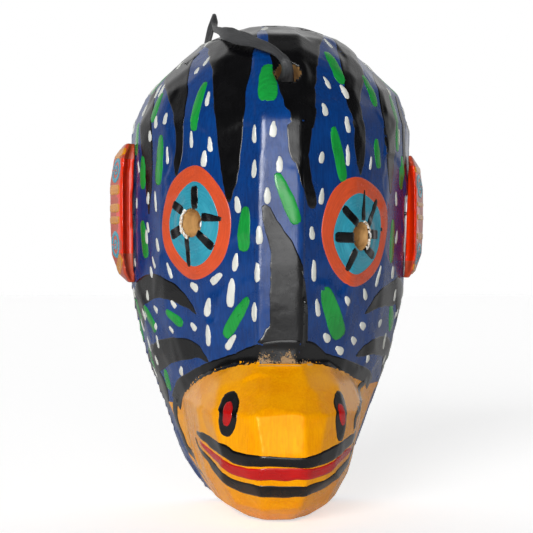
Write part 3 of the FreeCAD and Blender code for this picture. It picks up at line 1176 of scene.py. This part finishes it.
eyes = {
    "left": {
        "ring": [(-39.4, 173), (-27.4, 160.2), (-22.9, 144.5), (-27.4, 125), (-41.3, 116.2),
                 (-53.7, 128.2), (-56.7, 145.4), (-51.7, 165.3)],
        "iris": [(-40.6, 165), (-33.1, 158.4), (-28.8, 144.6), (-32.6, 129), (-41.3, 123), (-50.2, 132.2),
                 (-52.9, 145.3), (-48.7, 158)],
        # spokes as start x, z, end x, z and half width at each
        "spokes": [(-40.4, 151, -40.6, 163, 2.6, 2.5), (-37.5, 147.2, -27.2, 146, 2.6, 1.2),
                   (-39.5, 139.8, -31.2, 131.8, 2.1, 2.5), (-44.3, 138, -43, 122.5, 2.1, 1.5),
                   (-47, 141.6, -52.2, 138.4, 2.7, 2.8), (-46.2, 150.2, -51.2, 154.6, 2.4, 2.4)],
    },
    "right": {
        "ring": [(40.4, 167.5), (54.7, 159.7), (58.5, 144), (52.5, 122), (38.9, 112.7), (26.9, 121.2),
                 (20.8, 139.7), (26.8, 159.8)],
        "iris": [(41.5, 159.4), (51.7, 153.4), (54.1, 142.4), (50.6, 127.2), (40, 118.9), (31.7, 125),
                 (27.1, 137.8), (32.2, 152.6)],
        "spokes": [(40.4, 143.8, 32, 152.3, 2.5, 2.3), (43.2, 145.5, 44.2, 161.4, 2.2, 0.6),
                   (46.2, 143, 51.6, 157, 2.2, 1.4), (46.2, 139.3, 52.4, 139, 2.6, 2.6),
                   (44.2, 132.5, 50, 128, 2.5, 2.4), (39.6, 131.6, 34, 120.6, 2.3, 1.9),
                   (39.4, 137.2, 27.6, 137.2, 2.9, 2.7), (53.8, 141.8, 55, 141.8, 1.1, 1)],
    },
    "ringLift": 0.2,
    "irisLift": 0.26,
    "spokeLift": 0.4,
    "chipLift": 0.46,
    "chipHalf": (0.85, 0.8),    # half width of the chipped rim, and how much it varies
    "leastChip": 0.25,
    "roundSteps": 96,
    "ringLap": 0.06,        # share of the ring's width that it reaches in under the iris
    "irisLap": 0.04,        # share of the ring's width that the iris reaches out over it
    "spokeSteps": 6,
}


def closedLine(points, count):
    # a smooth closed line through the points, evenly counted
    places = []
    total = len(points)
    for i in range(count):
        at = i * total / count
        k = int(at)
        a, b, c, d = (Vector(points[(k + j) % total]) for j in (-1, 0, 1, 2))
        places.append(curvedBetween(a, b, c, d, at - k))
    return places


def paintedRing(inner, outer, lift, cols):
    # the film between two closed lines with the same count of points
    grid, facing, lifts, sides = [], [], [], []
    for a, b in zip(inner, outer):
        width = (b - a).length
        rim = film["edge"] * mm / width
        shares = sorted([0, rim] + [k / cols for k in range(1, cols)] + [1 - rim, 1])
        landed = [snapped(a.lerp(b, share)) for share in shares]
        grid.append([near for near, _ in landed])
        facing.append([look for _, look in landed])
        lifts.append([(-film["edgeSink"] if k in (0, len(shares) - 1) else lift) * mm
                      for k in range(len(shares))])
        sides.append([width * share for share in shares])
    run = stepsAlong([row[len(row) // 2] for row in grid])
    return slabMesh("ring", grid, facing, lifts, run, sides, ring=True)


whiteDabs = {
    "size": (7.4, 3.1, 0.42),       # length and width of a middling dab, and the height of them all
    "shape": {"Taper": 0.24, "Squareness": 0.2, "Unevenness": 0.13, "Seed": 3},
    "spread": 0.24,                 # how much the sizes differ
    "lean": 13.0,                   # degrees either way
    "seed": 11,
    # (x, z) seen from the front, and for most of them the length, the width and the lean of the pull
    "front": [
        (-34, 227, 7.6, 2.8, -8), (-39, 222, 4.6, 2.8, 0), (-34, 206, 8.5, 2.2, -3),
        (-42, 186, 8.6, 2.5, -8), (-33, 183), (-36, 176), (-59, 214), (-55, 198), (-60, 197),
        (-54, 179, 9.2, 2.0, -8), (-69, 175, 6.6, 2.2, -15), (-60, 156, 11, 2.3, -8),
        (-70, 156, 6, 2, 0), (-64, 143, 5.8, 2.4, -15), (-59, 134, 7.8, 3, -20),
        (-61, 125, 6.8, 2.3, -25), (-71, 125, 5, 2.5, -25), (-53, 121, 8.8, 2.5, -24),
        (-41, 113, 6, 3.9, -60), (-30, 117, 8.3, 3.8, 55), (-21, 125, 9, 3.3, 8),
        (-23, 110, 14.5, 4.5, 8), (-34, 103, 9.6, 4, 15), (-51, 104, 5.2, 3, -45),
        (-60, 101, 4.8, 2.9, -50), (-65, 98, 3.7, 2.7, 0), (-60, 92, 3.6, 3.1, 30),
        (-52, 91, 4.8, 2.9, -50), (-41, 93, 5.4, 3.1, -50), (-34, 89, 11.3, 3.5, 8),
        (-23, 86, 9.6, 3.4, 42), (-47, 70, 5.8, 3.3, 35), (-20, 153), (-12, 187, 9, 3.2, -4),
        (-3, 189, 8, 3.4, 4), (-12, 170, 9, 3.2, -2), (0, 172, 8, 3.2, 3), (-6, 157, 8, 3.2, 0),
        (-10, 138, 9, 3.6, 0), (-11, 120, 9.5, 3.8, 2), (-12, 101, 9.5, 4, 4), (28, 237),
        (25, 214, 7.4, 2.6, -12), (23, 200), (21, 176), (34, 210), (35, 193), (35, 178, 10.8, 2.5, 0),
        (21, 157), (16, 139), (17, 121, 10.8, 3, -2), (19, 103, 9.2, 3.3, -15), (24, 88, 5.8, 4, -45),
        (48, 175, 7, 2, 12), (53, 118, 11.5, 2.4, 20), (45, 109, 6.2, 3.3, -25),
        (35, 106, 5.4, 3.6, -40), (44, 93, 6, 4, -65), (55, 94, 4.5, 4.2, 60),
        (39, 86, 5.8, 3.7, -60), (31, 81.5, 6.6, 3.8, -60), (48, 76, 4.4, 3.4, -30)],
    # (y, z) on the flanks, the same on both
    "flank": [
        (-30, 214), (-22, 228), (-17, 205), (-8, 217), (-33, 190), (-28, 108), (-20, 98), (-9, 92),
        (-30, 84), (-14, 82), (-22, 74), (-8, 109), (-35, 120), (-31, 138), (-33, 158), (-12, 240),
        (-6, 198), (-7, 67)],
    # (x, y) on the top
    "crown": [(-4, -40), (-5, -22), (-3, -8), (33, -30), (31, -12), (-33, -26), (-31, -9)],
}

greenDabs = {
    "height": 0.32,
    "shape": {"Taper": 0.16, "Squareness": 0.27, "Unevenness": 0.14, "Seed": 5},
    # x, z, length, width and lean in degrees, seen from the front
    "front": [
        (-39, 203, 27, 6.5, 2), (-5, 213, 23, 10, 0), (-58, 177, 26, 7.5, 1), (-17, 141, 22, 7.5, 4),
        (-66, 137, 20, 7, -14), (-20.5, 98, 25, 6.5, 38), (-50.5, 97, 15, 5, -64), (-68, 89, 12, 5, 12),
        (-54, 64, 12, 6, 14), (30, 223, 22, 7, 0), (30, 178, 28, 6.5, -13), (49, 213, 19, 6, -8),
        (52, 180, 15, 5.5, -6), (62, 136, 23, 7, 4), (27, 100, 29, 10.5, -27), (3.5, 155.5, 27, 6.5, -22),
        (65, 190, 15, 5, -4), (-70, 190, 18, 7, 3)],
    "flank": [(-16, 220, 19, 7, 8), (-27, 96, 17, 7, -35), (-12, 74, 15, 6, -20), (-27, 172, 18, 6, 0),
              (-33, 205, 17, 6, 6), (-9, 100, 14, 6, -30)],
}


def dabTree(name, paint):
    # a flattened drop of paint on every point, turned along its stroke and laid down on the wood
    tree = bpy.data.node_groups.new(name, "GeometryNodeTree")
    face = tree.interface
    face.new_socket("Geometry", in_out="INPUT", socket_type="NodeSocketGeometry")
    for label, value in (("Taper", 0.28), ("Squareness", 0.1), ("Unevenness", 0.1)):
        face.new_socket(label, in_out="INPUT", socket_type="NodeSocketFloat").default_value = value
    face.new_socket("Seed", in_out="INPUT", socket_type="NodeSocketInt").default_value = 1
    face.new_socket("Wood", in_out="INPUT", socket_type="NodeSocketObject")
    face.new_socket("Geometry", in_out="OUTPUT", socket_type="NodeSocketGeometry")
    given = addNode(tree, "NodeGroupInput")
    drop = addNode(tree, "GeometryNodeMeshUVSphere", {"Segments": 20, "Rings": 12, "Radius": 1.0})
    place = addNode(tree, "GeometryNodeInputPosition").outputs[0]
    parts = addNode(tree, "ShaderNodeSeparateXYZ", {"Vector": place})
    # one end is fuller than the other, and the sides are squarer than an ellipse's
    sums = {"x": parts.outputs["X"], "y": parts.outputs["Y"], "taper": given.outputs["Taper"],
            "squareness": given.outputs["Squareness"], "none": 0.0, "one": 1.0, "justOver": 1.03}
    for result, first, operation, second in (
            ("narrowed", "x", "MULTIPLY", "taper"), ("share", "one", "SUBTRACT", "narrowed"),
            ("square", "x", "MULTIPLY", "x"), ("left", "justOver", "SUBTRACT", "square"),
            ("bend", "none", "SUBTRACT", "squareness"), ("swell", "left", "POWER", "bend"),
            ("full", "share", "MULTIPLY", "swell"), ("width", "y", "MULTIPLY", "full")):
        sums[result] = addNode(tree, "ShaderNodeMath", {0: sums[first], 1: sums[second]},
                               operation=operation).outputs[0]
    shaped = addNode(tree, "ShaderNodeCombineXYZ", {
        "X": sums["x"], "Y": sums["width"], "Z": parts.outputs["Z"]})
    teardrop = addNode(tree, "GeometryNodeSetPosition", {
        "Geometry": drop.outputs["Mesh"], "Position": shaped.outputs[0]})
    marked = addNode(tree, "GeometryNodeStoreNamedAttribute", {
        "Geometry": teardrop.outputs[0], "Name": "rise", "Value": parts.outputs["Z"]},
        data_type="FLOAT", domain="POINT")
    read = {}
    for label in ("aim", "facing", "dabSize"):
        read[label] = addNode(tree, "GeometryNodeInputNamedAttribute", {"Name": label},
                              data_type="FLOAT_VECTOR").outputs[0]
    stand = addNode(tree, "FunctionNodeAlignRotationToVector", {"Vector": read["facing"]}, axis="Z")
    turned = addNode(tree, "FunctionNodeAlignRotationToVector", {
        "Rotation": stand.outputs[0], "Vector": read["aim"]}, axis="X", pivot_axis="Z")
    drops = addNode(tree, "GeometryNodeInstanceOnPoints", {
        "Points": given.outputs["Geometry"], "Instance": marked.outputs[0],
        "Rotation": turned.outputs[0], "Scale": read["dabSize"]})
    real = addNode(tree, "GeometryNodeRealizeInstances", {"Geometry": drops.outputs[0]})
    # the edge wanders a little, by a fixed seed
    grain = addNode(tree, "ShaderNodeTexNoise", {
        "Vector": place, "W": given.outputs["Seed"], "Scale": 1 / (2.4 * mm), "Detail": 1.0},
        noise_dimensions="4D")
    centred = addNode(tree, "ShaderNodeVectorMath", {0: grain.outputs["Color"], 1: (0.5, 0.5, 0.5)},
                      operation="SUBTRACT")
    shake = centred
    for amount in (given.outputs["Unevenness"], 10 * mm):
        shake = addNode(tree, "ShaderNodeVectorMath", {0: shake.outputs[0], "Scale": amount},
                        operation="SCALE")
    shaken = addNode(tree, "GeometryNodeSetPosition", {
        "Geometry": real.outputs[0], "Offset": shake.outputs[0]})
    wood = addNode(tree, "GeometryNodeObjectInfo", {"Object": given.outputs["Wood"]}).outputs["Geometry"]
    landed = addNode(tree, "GeometryNodeProximity", {"Geometry": wood}, target_element="FACES")
    normal = addNode(tree, "GeometryNodeInputNormal").outputs[0]
    look = addNode(tree, "GeometryNodeSampleNearestSurface", {"Mesh": wood, "Value": normal},
                   data_type="FLOAT_VECTOR")
    rise = addNode(tree, "GeometryNodeInputNamedAttribute", {"Name": "rise"}, data_type="FLOAT").outputs[0]
    size = addNode(tree, "ShaderNodeSeparateXYZ", {"Vector": read["dabSize"]})
    high = addNode(tree, "ShaderNodeMath", {0: rise, 1: size.outputs["Z"]}, operation="MULTIPLY")
    up = addNode(tree, "ShaderNodeVectorMath", {0: look.outputs[0], "Scale": high.outputs[0]},
                 operation="SCALE")
    laid = addNode(tree, "ShaderNodeVectorMath", {0: landed.outputs["Position"], 1: up.outputs[0]},
                   operation="ADD")
    draped = addNode(tree, "GeometryNodeSetPosition", {
        "Geometry": shaken.outputs[0], "Position": laid.outputs[0]})
    coloured = addNode(tree, "GeometryNodeSetMaterial", {"Geometry": draped.outputs[0], "Material": paint})
    addNode(tree, "NodeGroupOutput", {"Geometry": coloured.outputs[0]})
    return tree


def makeDabs(name, spots, paint, wood, shape):
    # spots are (place, aim, facing, size) of each dab, all in metres
    mesh = bpy.data.meshes.new(name)
    mesh.from_pydata([tuple(spot[0]) for spot in spots], [], [])
    for label, column in (("aim", 1), ("facing", 2), ("dabSize", 3)):
        layer = mesh.attributes.new(label, "FLOAT_VECTOR", "POINT")
        layer.data.foreach_set("vector", [c for spot in spots for c in spot[column]])
    holder = addObject(name, mesh)
    dabs = holder.modifiers.new("dabs", "NODES")
    dabs.node_group = dabTree(name, paint)
    values = {**shape, "Wood": wood}
    for item in dabs.node_group.interface.items_tree:
        if item.in_out == "INPUT" and item.name in values:
            dabs[item.identifier] = values[item.name]
    graph = bpy.context.evaluated_depsgraph_get()
    result = bpy.data.meshes.new_from_object(holder.evaluated_get(graph))
    bpy.data.objects.remove(holder)
    result.materials.clear()
    return addPiece(name, result, "mask_shell", paint)


def dabSpot(place, lean, size):
    # lean turns the dab from straight up, clockwise seen from outside
    near, facing = snapped(place)
    up = (Vector((0, 0, 1)) - facing * facing.z)
    if up.length < 0.2:
        up = Vector((0, 1, 0)) - facing * facing.y
    up.normalize()
    across = up.cross(facing)
    angle = math.radians(lean)
    aim = up * math.cos(angle) + across * math.sin(angle)
    return near, aim, facing, size


def paintDabs(wood, paints):
    rng = np.random.default_rng(whiteDabs["seed"])
    length, width, height = (part / 2 * mm for part in whiteDabs["size"])
    drawn = [(onFront(dab[0], dab[1]), dab[2:]) for dab in whiteDabs["front"]]
    drawn += [(onFlank(y, z, side), ()) for side in (-1, 1) for y, z in whiteDabs["flank"]]
    drawn += [(onCrown(x, y), ()) for x, y in whiteDabs["crown"]]
    spots = []
    for place, given in drawn:
        grow = 1 + rng.uniform(-1, 1) * whiteDabs["spread"]
        slim = 1 + rng.uniform(-1, 1) * whiteDabs["spread"] * 0.7
        lean = rng.uniform(-1, 1) * whiteDabs["lean"]
        size = (length * grow, width * slim)
        if given:
            size = (given[0] / 2 * mm, given[1] / 2 * mm)
            lean = given[2]
        spots.append(dabSpot(place, lean, (*size, 2 * height)))
    makeDabs("whiteDabs", spots, paints["white"], wood, whiteDabs["shape"])

    drawn = [(onFront(x, z), dab) for x, z, *dab in greenDabs["front"]]
    drawn += [(onFlank(y, z, side), dab) for side in (-1, 1) for y, z, *dab in greenDabs["flank"]]
    spots = [dabSpot(place, lean, (long / 2 * mm, wide / 2 * mm, greenDabs["height"] * mm))
             for place, (long, wide, lean) in drawn]
    makeDabs("greenDabs", spots, paints["green"], wood, greenDabs["shape"])


def rubbedShare(x, z):
    # the band is rubbed along its lower edge over the middle of the muzzle
    bandX, bandZ, bandHalf = zip(*bandLine)
    below = (np.interp(x, bandX, bandZ) - z) / np.interp(x, bandX, bandHalf)
    return float(np.clip(0.5 + 0.6 * below, 0, 1) * np.clip(1.3 - abs(x - 2) / 30, 0, 1))


def chippedRim(hole, side):
    # where the bit broke the paint away on the outer side of a sight hole, down to the pale ground under it
    count = 40
    line = boreLine(skin, hole, count, 0.3)
    outer = line[1:18] if side > 0 else line[21:38]
    middling, spread = eyes["chipHalf"]
    widths = [max(eyes["leastChip"], middling + spread * noise.noise(Vector((side * 3.1, k * 0.42, 0.3))))
              for k in range(len(outer))]
    widths[0] = widths[-1] = eyes["leastChip"]
    return brushStroke(outer, widths, eyes["chipLift"], step=0.5, edge=0.15, hole=hole)


def paintStrokes(paints):
    hole = drilledHoles()[2]
    strokes = [frontStroke(stroke["rows"], blackStripes["lift"], stroke.get("crown", ()),
                           stroke.get("flank", ()), hole=hole) for stroke in blackStripes["strokes"]]
    addPaint("blackStripes", strokes, paints["black"])
    band = addPaint("muzzleBand", [frontStroke(bandLine, muzzleLines["lift"])], paints["worn"])
    rubs = [rubbedShare(v.co.x / mm, v.co.z / mm) for v in band.data.vertices]
    setAttribute(band.data, "wear", rubs)
    lines = [frontStroke(rows, muzzleLines["lift"]) for rows in muzzleLines["strokes"]]
    addPaint("muzzleLines", lines, paints["black"])
    edges = [frontStroke(mouth[lip], mouth["blackLift"]) for lip in ("upper", "lower")]
    addPaint("mouthEdges", edges, paints["black"])
    addPaint("mouthRed", [frontStroke(mouth["red"], mouth["redLift"])], paints["red"])
    for name, colour, step in (("nostrilEdges", "black", 1.0), ("nostrilReds", "red", 0.8)):
        ovals = [frontStroke(ovalRows(*oval), nostrils[colour + "Lift"], step=step)
                 for oval in nostrils[colour]]
        addPaint(name, ovals, paints[colour])


def spokeRows(x0, z0, x1, z1, w0, w1):
    # a short pull of the brush, full in the middle and less so at both ends
    rows = []
    for k in range(eyes["spokeSteps"] + 1):
        t = k / eyes["spokeSteps"]
        swell = min(1, 4 * t + 0.75, 4 * (1 - t) + 0.55)
        rows.append((x0 + (x1 - x0) * t, z0 + (z1 - z0) * t, (w0 + (w1 - w0) * t) * swell))
    return rows


def paintEyes(paints):
    rings, irises, spokes, chips = [], [], [], []
    count = eyes["roundSteps"]
    for name, side, bore in zip(("left", "right"), (-1, 1), drilledHoles()):
        eye = eyes[name]
        ring, iris = ([snapped(onFront(p.x, p.y))[0] for p in closedLine(eye[part], count)]
                      for part in ("ring", "iris"))
        under = [i.lerp(r, -eyes["ringLap"]) for i, r in zip(iris, ring)]
        over = [i.lerp(r, eyes["irisLap"]) for i, r in zip(iris, ring)]
        rings.append(paintedRing(under, ring, eyes["ringLift"], 7))
        irises.append(paintedRing(boreLine(skin, bore, count, -0.1), over, eyes["irisLift"], 12))
        chips.append(chippedRim(bore, side))
        spokes += [frontStroke(spokeRows(*spoke), eyes["spokeLift"], depth=bore[0].y / mm, step=0.7,
                               edge=0.25, hole=bore) for spoke in eye["spokes"]]
    addPaint("eyeRings", rings, paints["orange"])
    addPaint("eyeIrises", irises, paints["turquoise"])
    addPaint("eyeSpokes", spokes, paints["black"])
    addPaint("chippedRims", chips, paints["gesso"])


paints = {
    "black": glossEnamel("blackEnamel", "#020203", "#060608"),
    "orange": glossEnamel("orangeEnamel", "#d9532b", "#c24a28"),
    "turquoise": glossEnamel("turquoiseEnamel", "#359cb0", "#27829a"),
    "red": glossEnamel("redEnamel", "#c20a0a", "#a80507"),
    "white": glossEnamel("whiteEnamel", "#dcddd6", "#c6c9c1", along="Object"),
    "green": glossEnamel("greenEnamel", "#159a3c", "#0f7f31", along="Object"),
    "yellow": glossEnamel("yellowEnamel", "#dd8d02", "#c47902"),
    "gesso": chalkyGround("bareGesso"),
    "worn": wornEnamel("rubbedBlackEnamel", "#030304", "#94764f", 0.16),
}
paintStrokes(paints)
paintEyes(paints)
print("stripes, band, mouth, nostrils and eyes are painted")
paintDabs(block, paints)
print("white and green dabs are laid")


earPaint = {
    "meshStep": 0.75,
    "smoothing": 3,
    "ringLift": 0.16,
    "dashLift": 0.22,
    "bandBack": -8.0,           # y of the painted outer band's back and front edges
    "bandFront": -22.0,
    "dashSteps": 5,
    "ringSteps": 28,
    "rounds": [(0.82, 1.25), (0.28, 0.9)],  # each ring's two rounds: share of its size, and half width
    "redOver": 3.0,             # mm that the red was carried over the lip
    "redWaves": [(0.7, 0.55), (0.3, 1.7)],  # how far its edge sways, and how fast over the height
    "ringGap": 2.2,             # mm that it stays back beside a ring
    "redFrom": -9.0,            # y where the recess ends
    # marks on the band, from the top down: dashes as (z at the back, z at the front, half width), rings as
    # (z, y, half height, half depth), and the bottom and top of the recess
    "left_ear": {
        "dashes": [(182.4, 182.4, 3.2), (163.2, 163.2, 2.8), (153.6, 153.6, 2.4), (147.2, 147.2, 2.2),
                   (119.5, 128, 2.9)],
        "rings": [(173.4, -15.5, 6.6, 5.6), (134.4, -15.0, 7.2, 5.6)],
        "recess": (129.5, 179.5),
    },
    "right_ear": {
        "dashes": [(174.2, 174.2, 2.0), (155.8, 155.8, 1.4), (149, 149, 1.7), (139, 139, 1.9),
                   (119.5, 123.5, 2.2)],
        "rings": [(165.6, -15.5, 6.4, 5.4), (129.6, -15.0, 6.0, 5.0)],
        "recess": (126, 176),
    },
}


def earRecess(points, facing, look):
    # 1 inside the scooped recess, found as what lies between the front lip and the head
    across = np.abs(points[:, 0]) / mm
    depth = points[:, 1] / mm
    height = points[:, 2] / mm
    levels = np.arange(math.ceil(height.min()), height.max(), 1.5)
    lips = []
    for level in levels:
        band = (np.abs(height - level) < 1.6) & (facing[:, 1] < -0.2)
        lips.append(across[band][np.argsort(depth[band])[:6]].max() if band.sum() > 6 else 0.0)
    lip = np.interp(height, levels, lips)
    low, high = look["recess"]
    # the red's edge is wavy and stays back beside the rings
    over = earPaint["redOver"]
    for sway, rate in earPaint["redWaves"]:
        over = over + sway * np.sin(height * rate)
    for level, _, tall, _ in look["rings"]:
        over = over - earPaint["ringGap"] * np.exp(-((height - level) / tall) ** 2)
    inside = (across < lip + over) & (depth < earPaint["redFrom"]) & (height > low) & (height < high)
    return inside.astype(float)


def earEnamel(name):
    # orange enamel on the band and a thick glassy red in the recess
    material, tree, shader = newMaterial(name)
    place = addNode(tree, "ShaderNodeTexCoord").outputs["Object"]
    recess = addNode(tree, "ShaderNodeAttribute", attribute_name="recess").outputs["Fac"]
    inside = addNode(tree, "ShaderNodeMapRange", {
        "Value": recess, "From Min": 0.4, "From Max": 0.6}).outputs[0]
    furrows = addNode(tree, "ShaderNodeTexNoise", {"Vector": place, "Scale": 1 / (2.5 * mm), "Detail": 4.0})
    streaks = furrows.outputs["Fac"]
    coats = []
    for colour, deeper in (("#c94b2b", "#a93c22"), ("#f43400", "#dc2600")):
        coat = addNode(tree, "ShaderNodeMix", {
            "Factor": streaks, 6: linearColour(colour), 7: linearColour(deeper)}, data_type="RGBA")
        coats.append(coat.outputs[2])
    tone = addNode(tree, "ShaderNodeMix", {"Factor": inside, 6: coats[0], 7: coats[1]}, data_type="RGBA")
    rough = addNode(tree, "ShaderNodeMapRange", {"Value": inside, "To Min": 0.3, "To Max": 0.12})
    setInputs(tree, shader, {
        "Base Color": tone.outputs[2], "Roughness": rough.outputs[0],
        "Normal": rippleBump(tree, place, streaks, enamelLook["bumpDepth"])})
    return material


def bandPoint(wood, side, y, z):
    hit = wood.ray_cast(Vector((side * 0.2, y * mm, z * mm)), Vector((-side, 0, 0)), 0.15)[0]
    return hit if hit is not None else wood.find_nearest(Vector((side * 0.08, y * mm, z * mm)))[0]


def makeEar(node, side, paints):
    look = earPaint[node]
    mesh, _ = remeshed(node, earPaint["meshStep"])
    points, facing, edges = meshArrays(mesh)
    points = smoothed(points, edges, earPaint["smoothing"])
    mesh.vertices.foreach_set("co", points.ravel())
    mesh.update()
    setAttribute(mesh, "recess", smoothed(earRecess(points, facing, look), edges, 2))
    wood = nearestFaces(mesh)
    piece = addPiece(node + "Carved", mesh, node, paints["ear"])
    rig.replaces(piece, node)
    back, steps = earPaint["bandBack"], earPaint["dashSteps"]
    deep = earPaint["bandFront"] - back
    dashes = []
    for low, high, half in look["dashes"]:
        line = [bandPoint(wood, side, back + deep * k / steps, low + (high - low) * k / steps)
                for k in range(steps + 1)]
        widths = [half * 0.6] + [half] * (steps - 1) + [half * 0.7]
        dashes.append(brushStroke(line, widths, earPaint["dashLift"], step=0.8, edge=0.3, wood=wood))
    addPaint(node + "Dashes", dashes, paints["yellow"], node)
    rings = []
    turns = [2 * math.pi * k / earPaint["ringSteps"] for k in range(earPaint["ringSteps"] + 1)]
    for z, y, tall, wide in look["rings"]:
        for share, half in earPaint["rounds"]:
            line = [bandPoint(wood, side, y + wide * share * math.cos(turn),
                              z + tall * share * math.sin(turn)) for turn in turns]
            rings.append(brushStroke(line, [half] * len(line), earPaint["ringLift"], step=0.7, edge=0.25,
                                     wood=wood))
    addPaint(node + "Rings", rings, paints["turquoise"], node)


def makeEars(paints):
    paints["ear"] = earEnamel("earEnamel")
    makeEar("left_ear", -1, paints)
    makeEar("right_ear", 1, paints)
    steel = drawnSteel("paintedOverNailSteel")
    for node in ("left_ear_nail", "right_ear_nail"):
        frame["nodes"][node].data.materials[0] = steel


makeEars(paints)
print("ears are carved, painted and nailed on")

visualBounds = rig.bounds()
with open("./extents.json", "w") as sizes:
    json.dump({"cad": [list(corner) for corner in cadBounds],
               "visual": [list(corner) for corner in visualBounds]}, sizes)
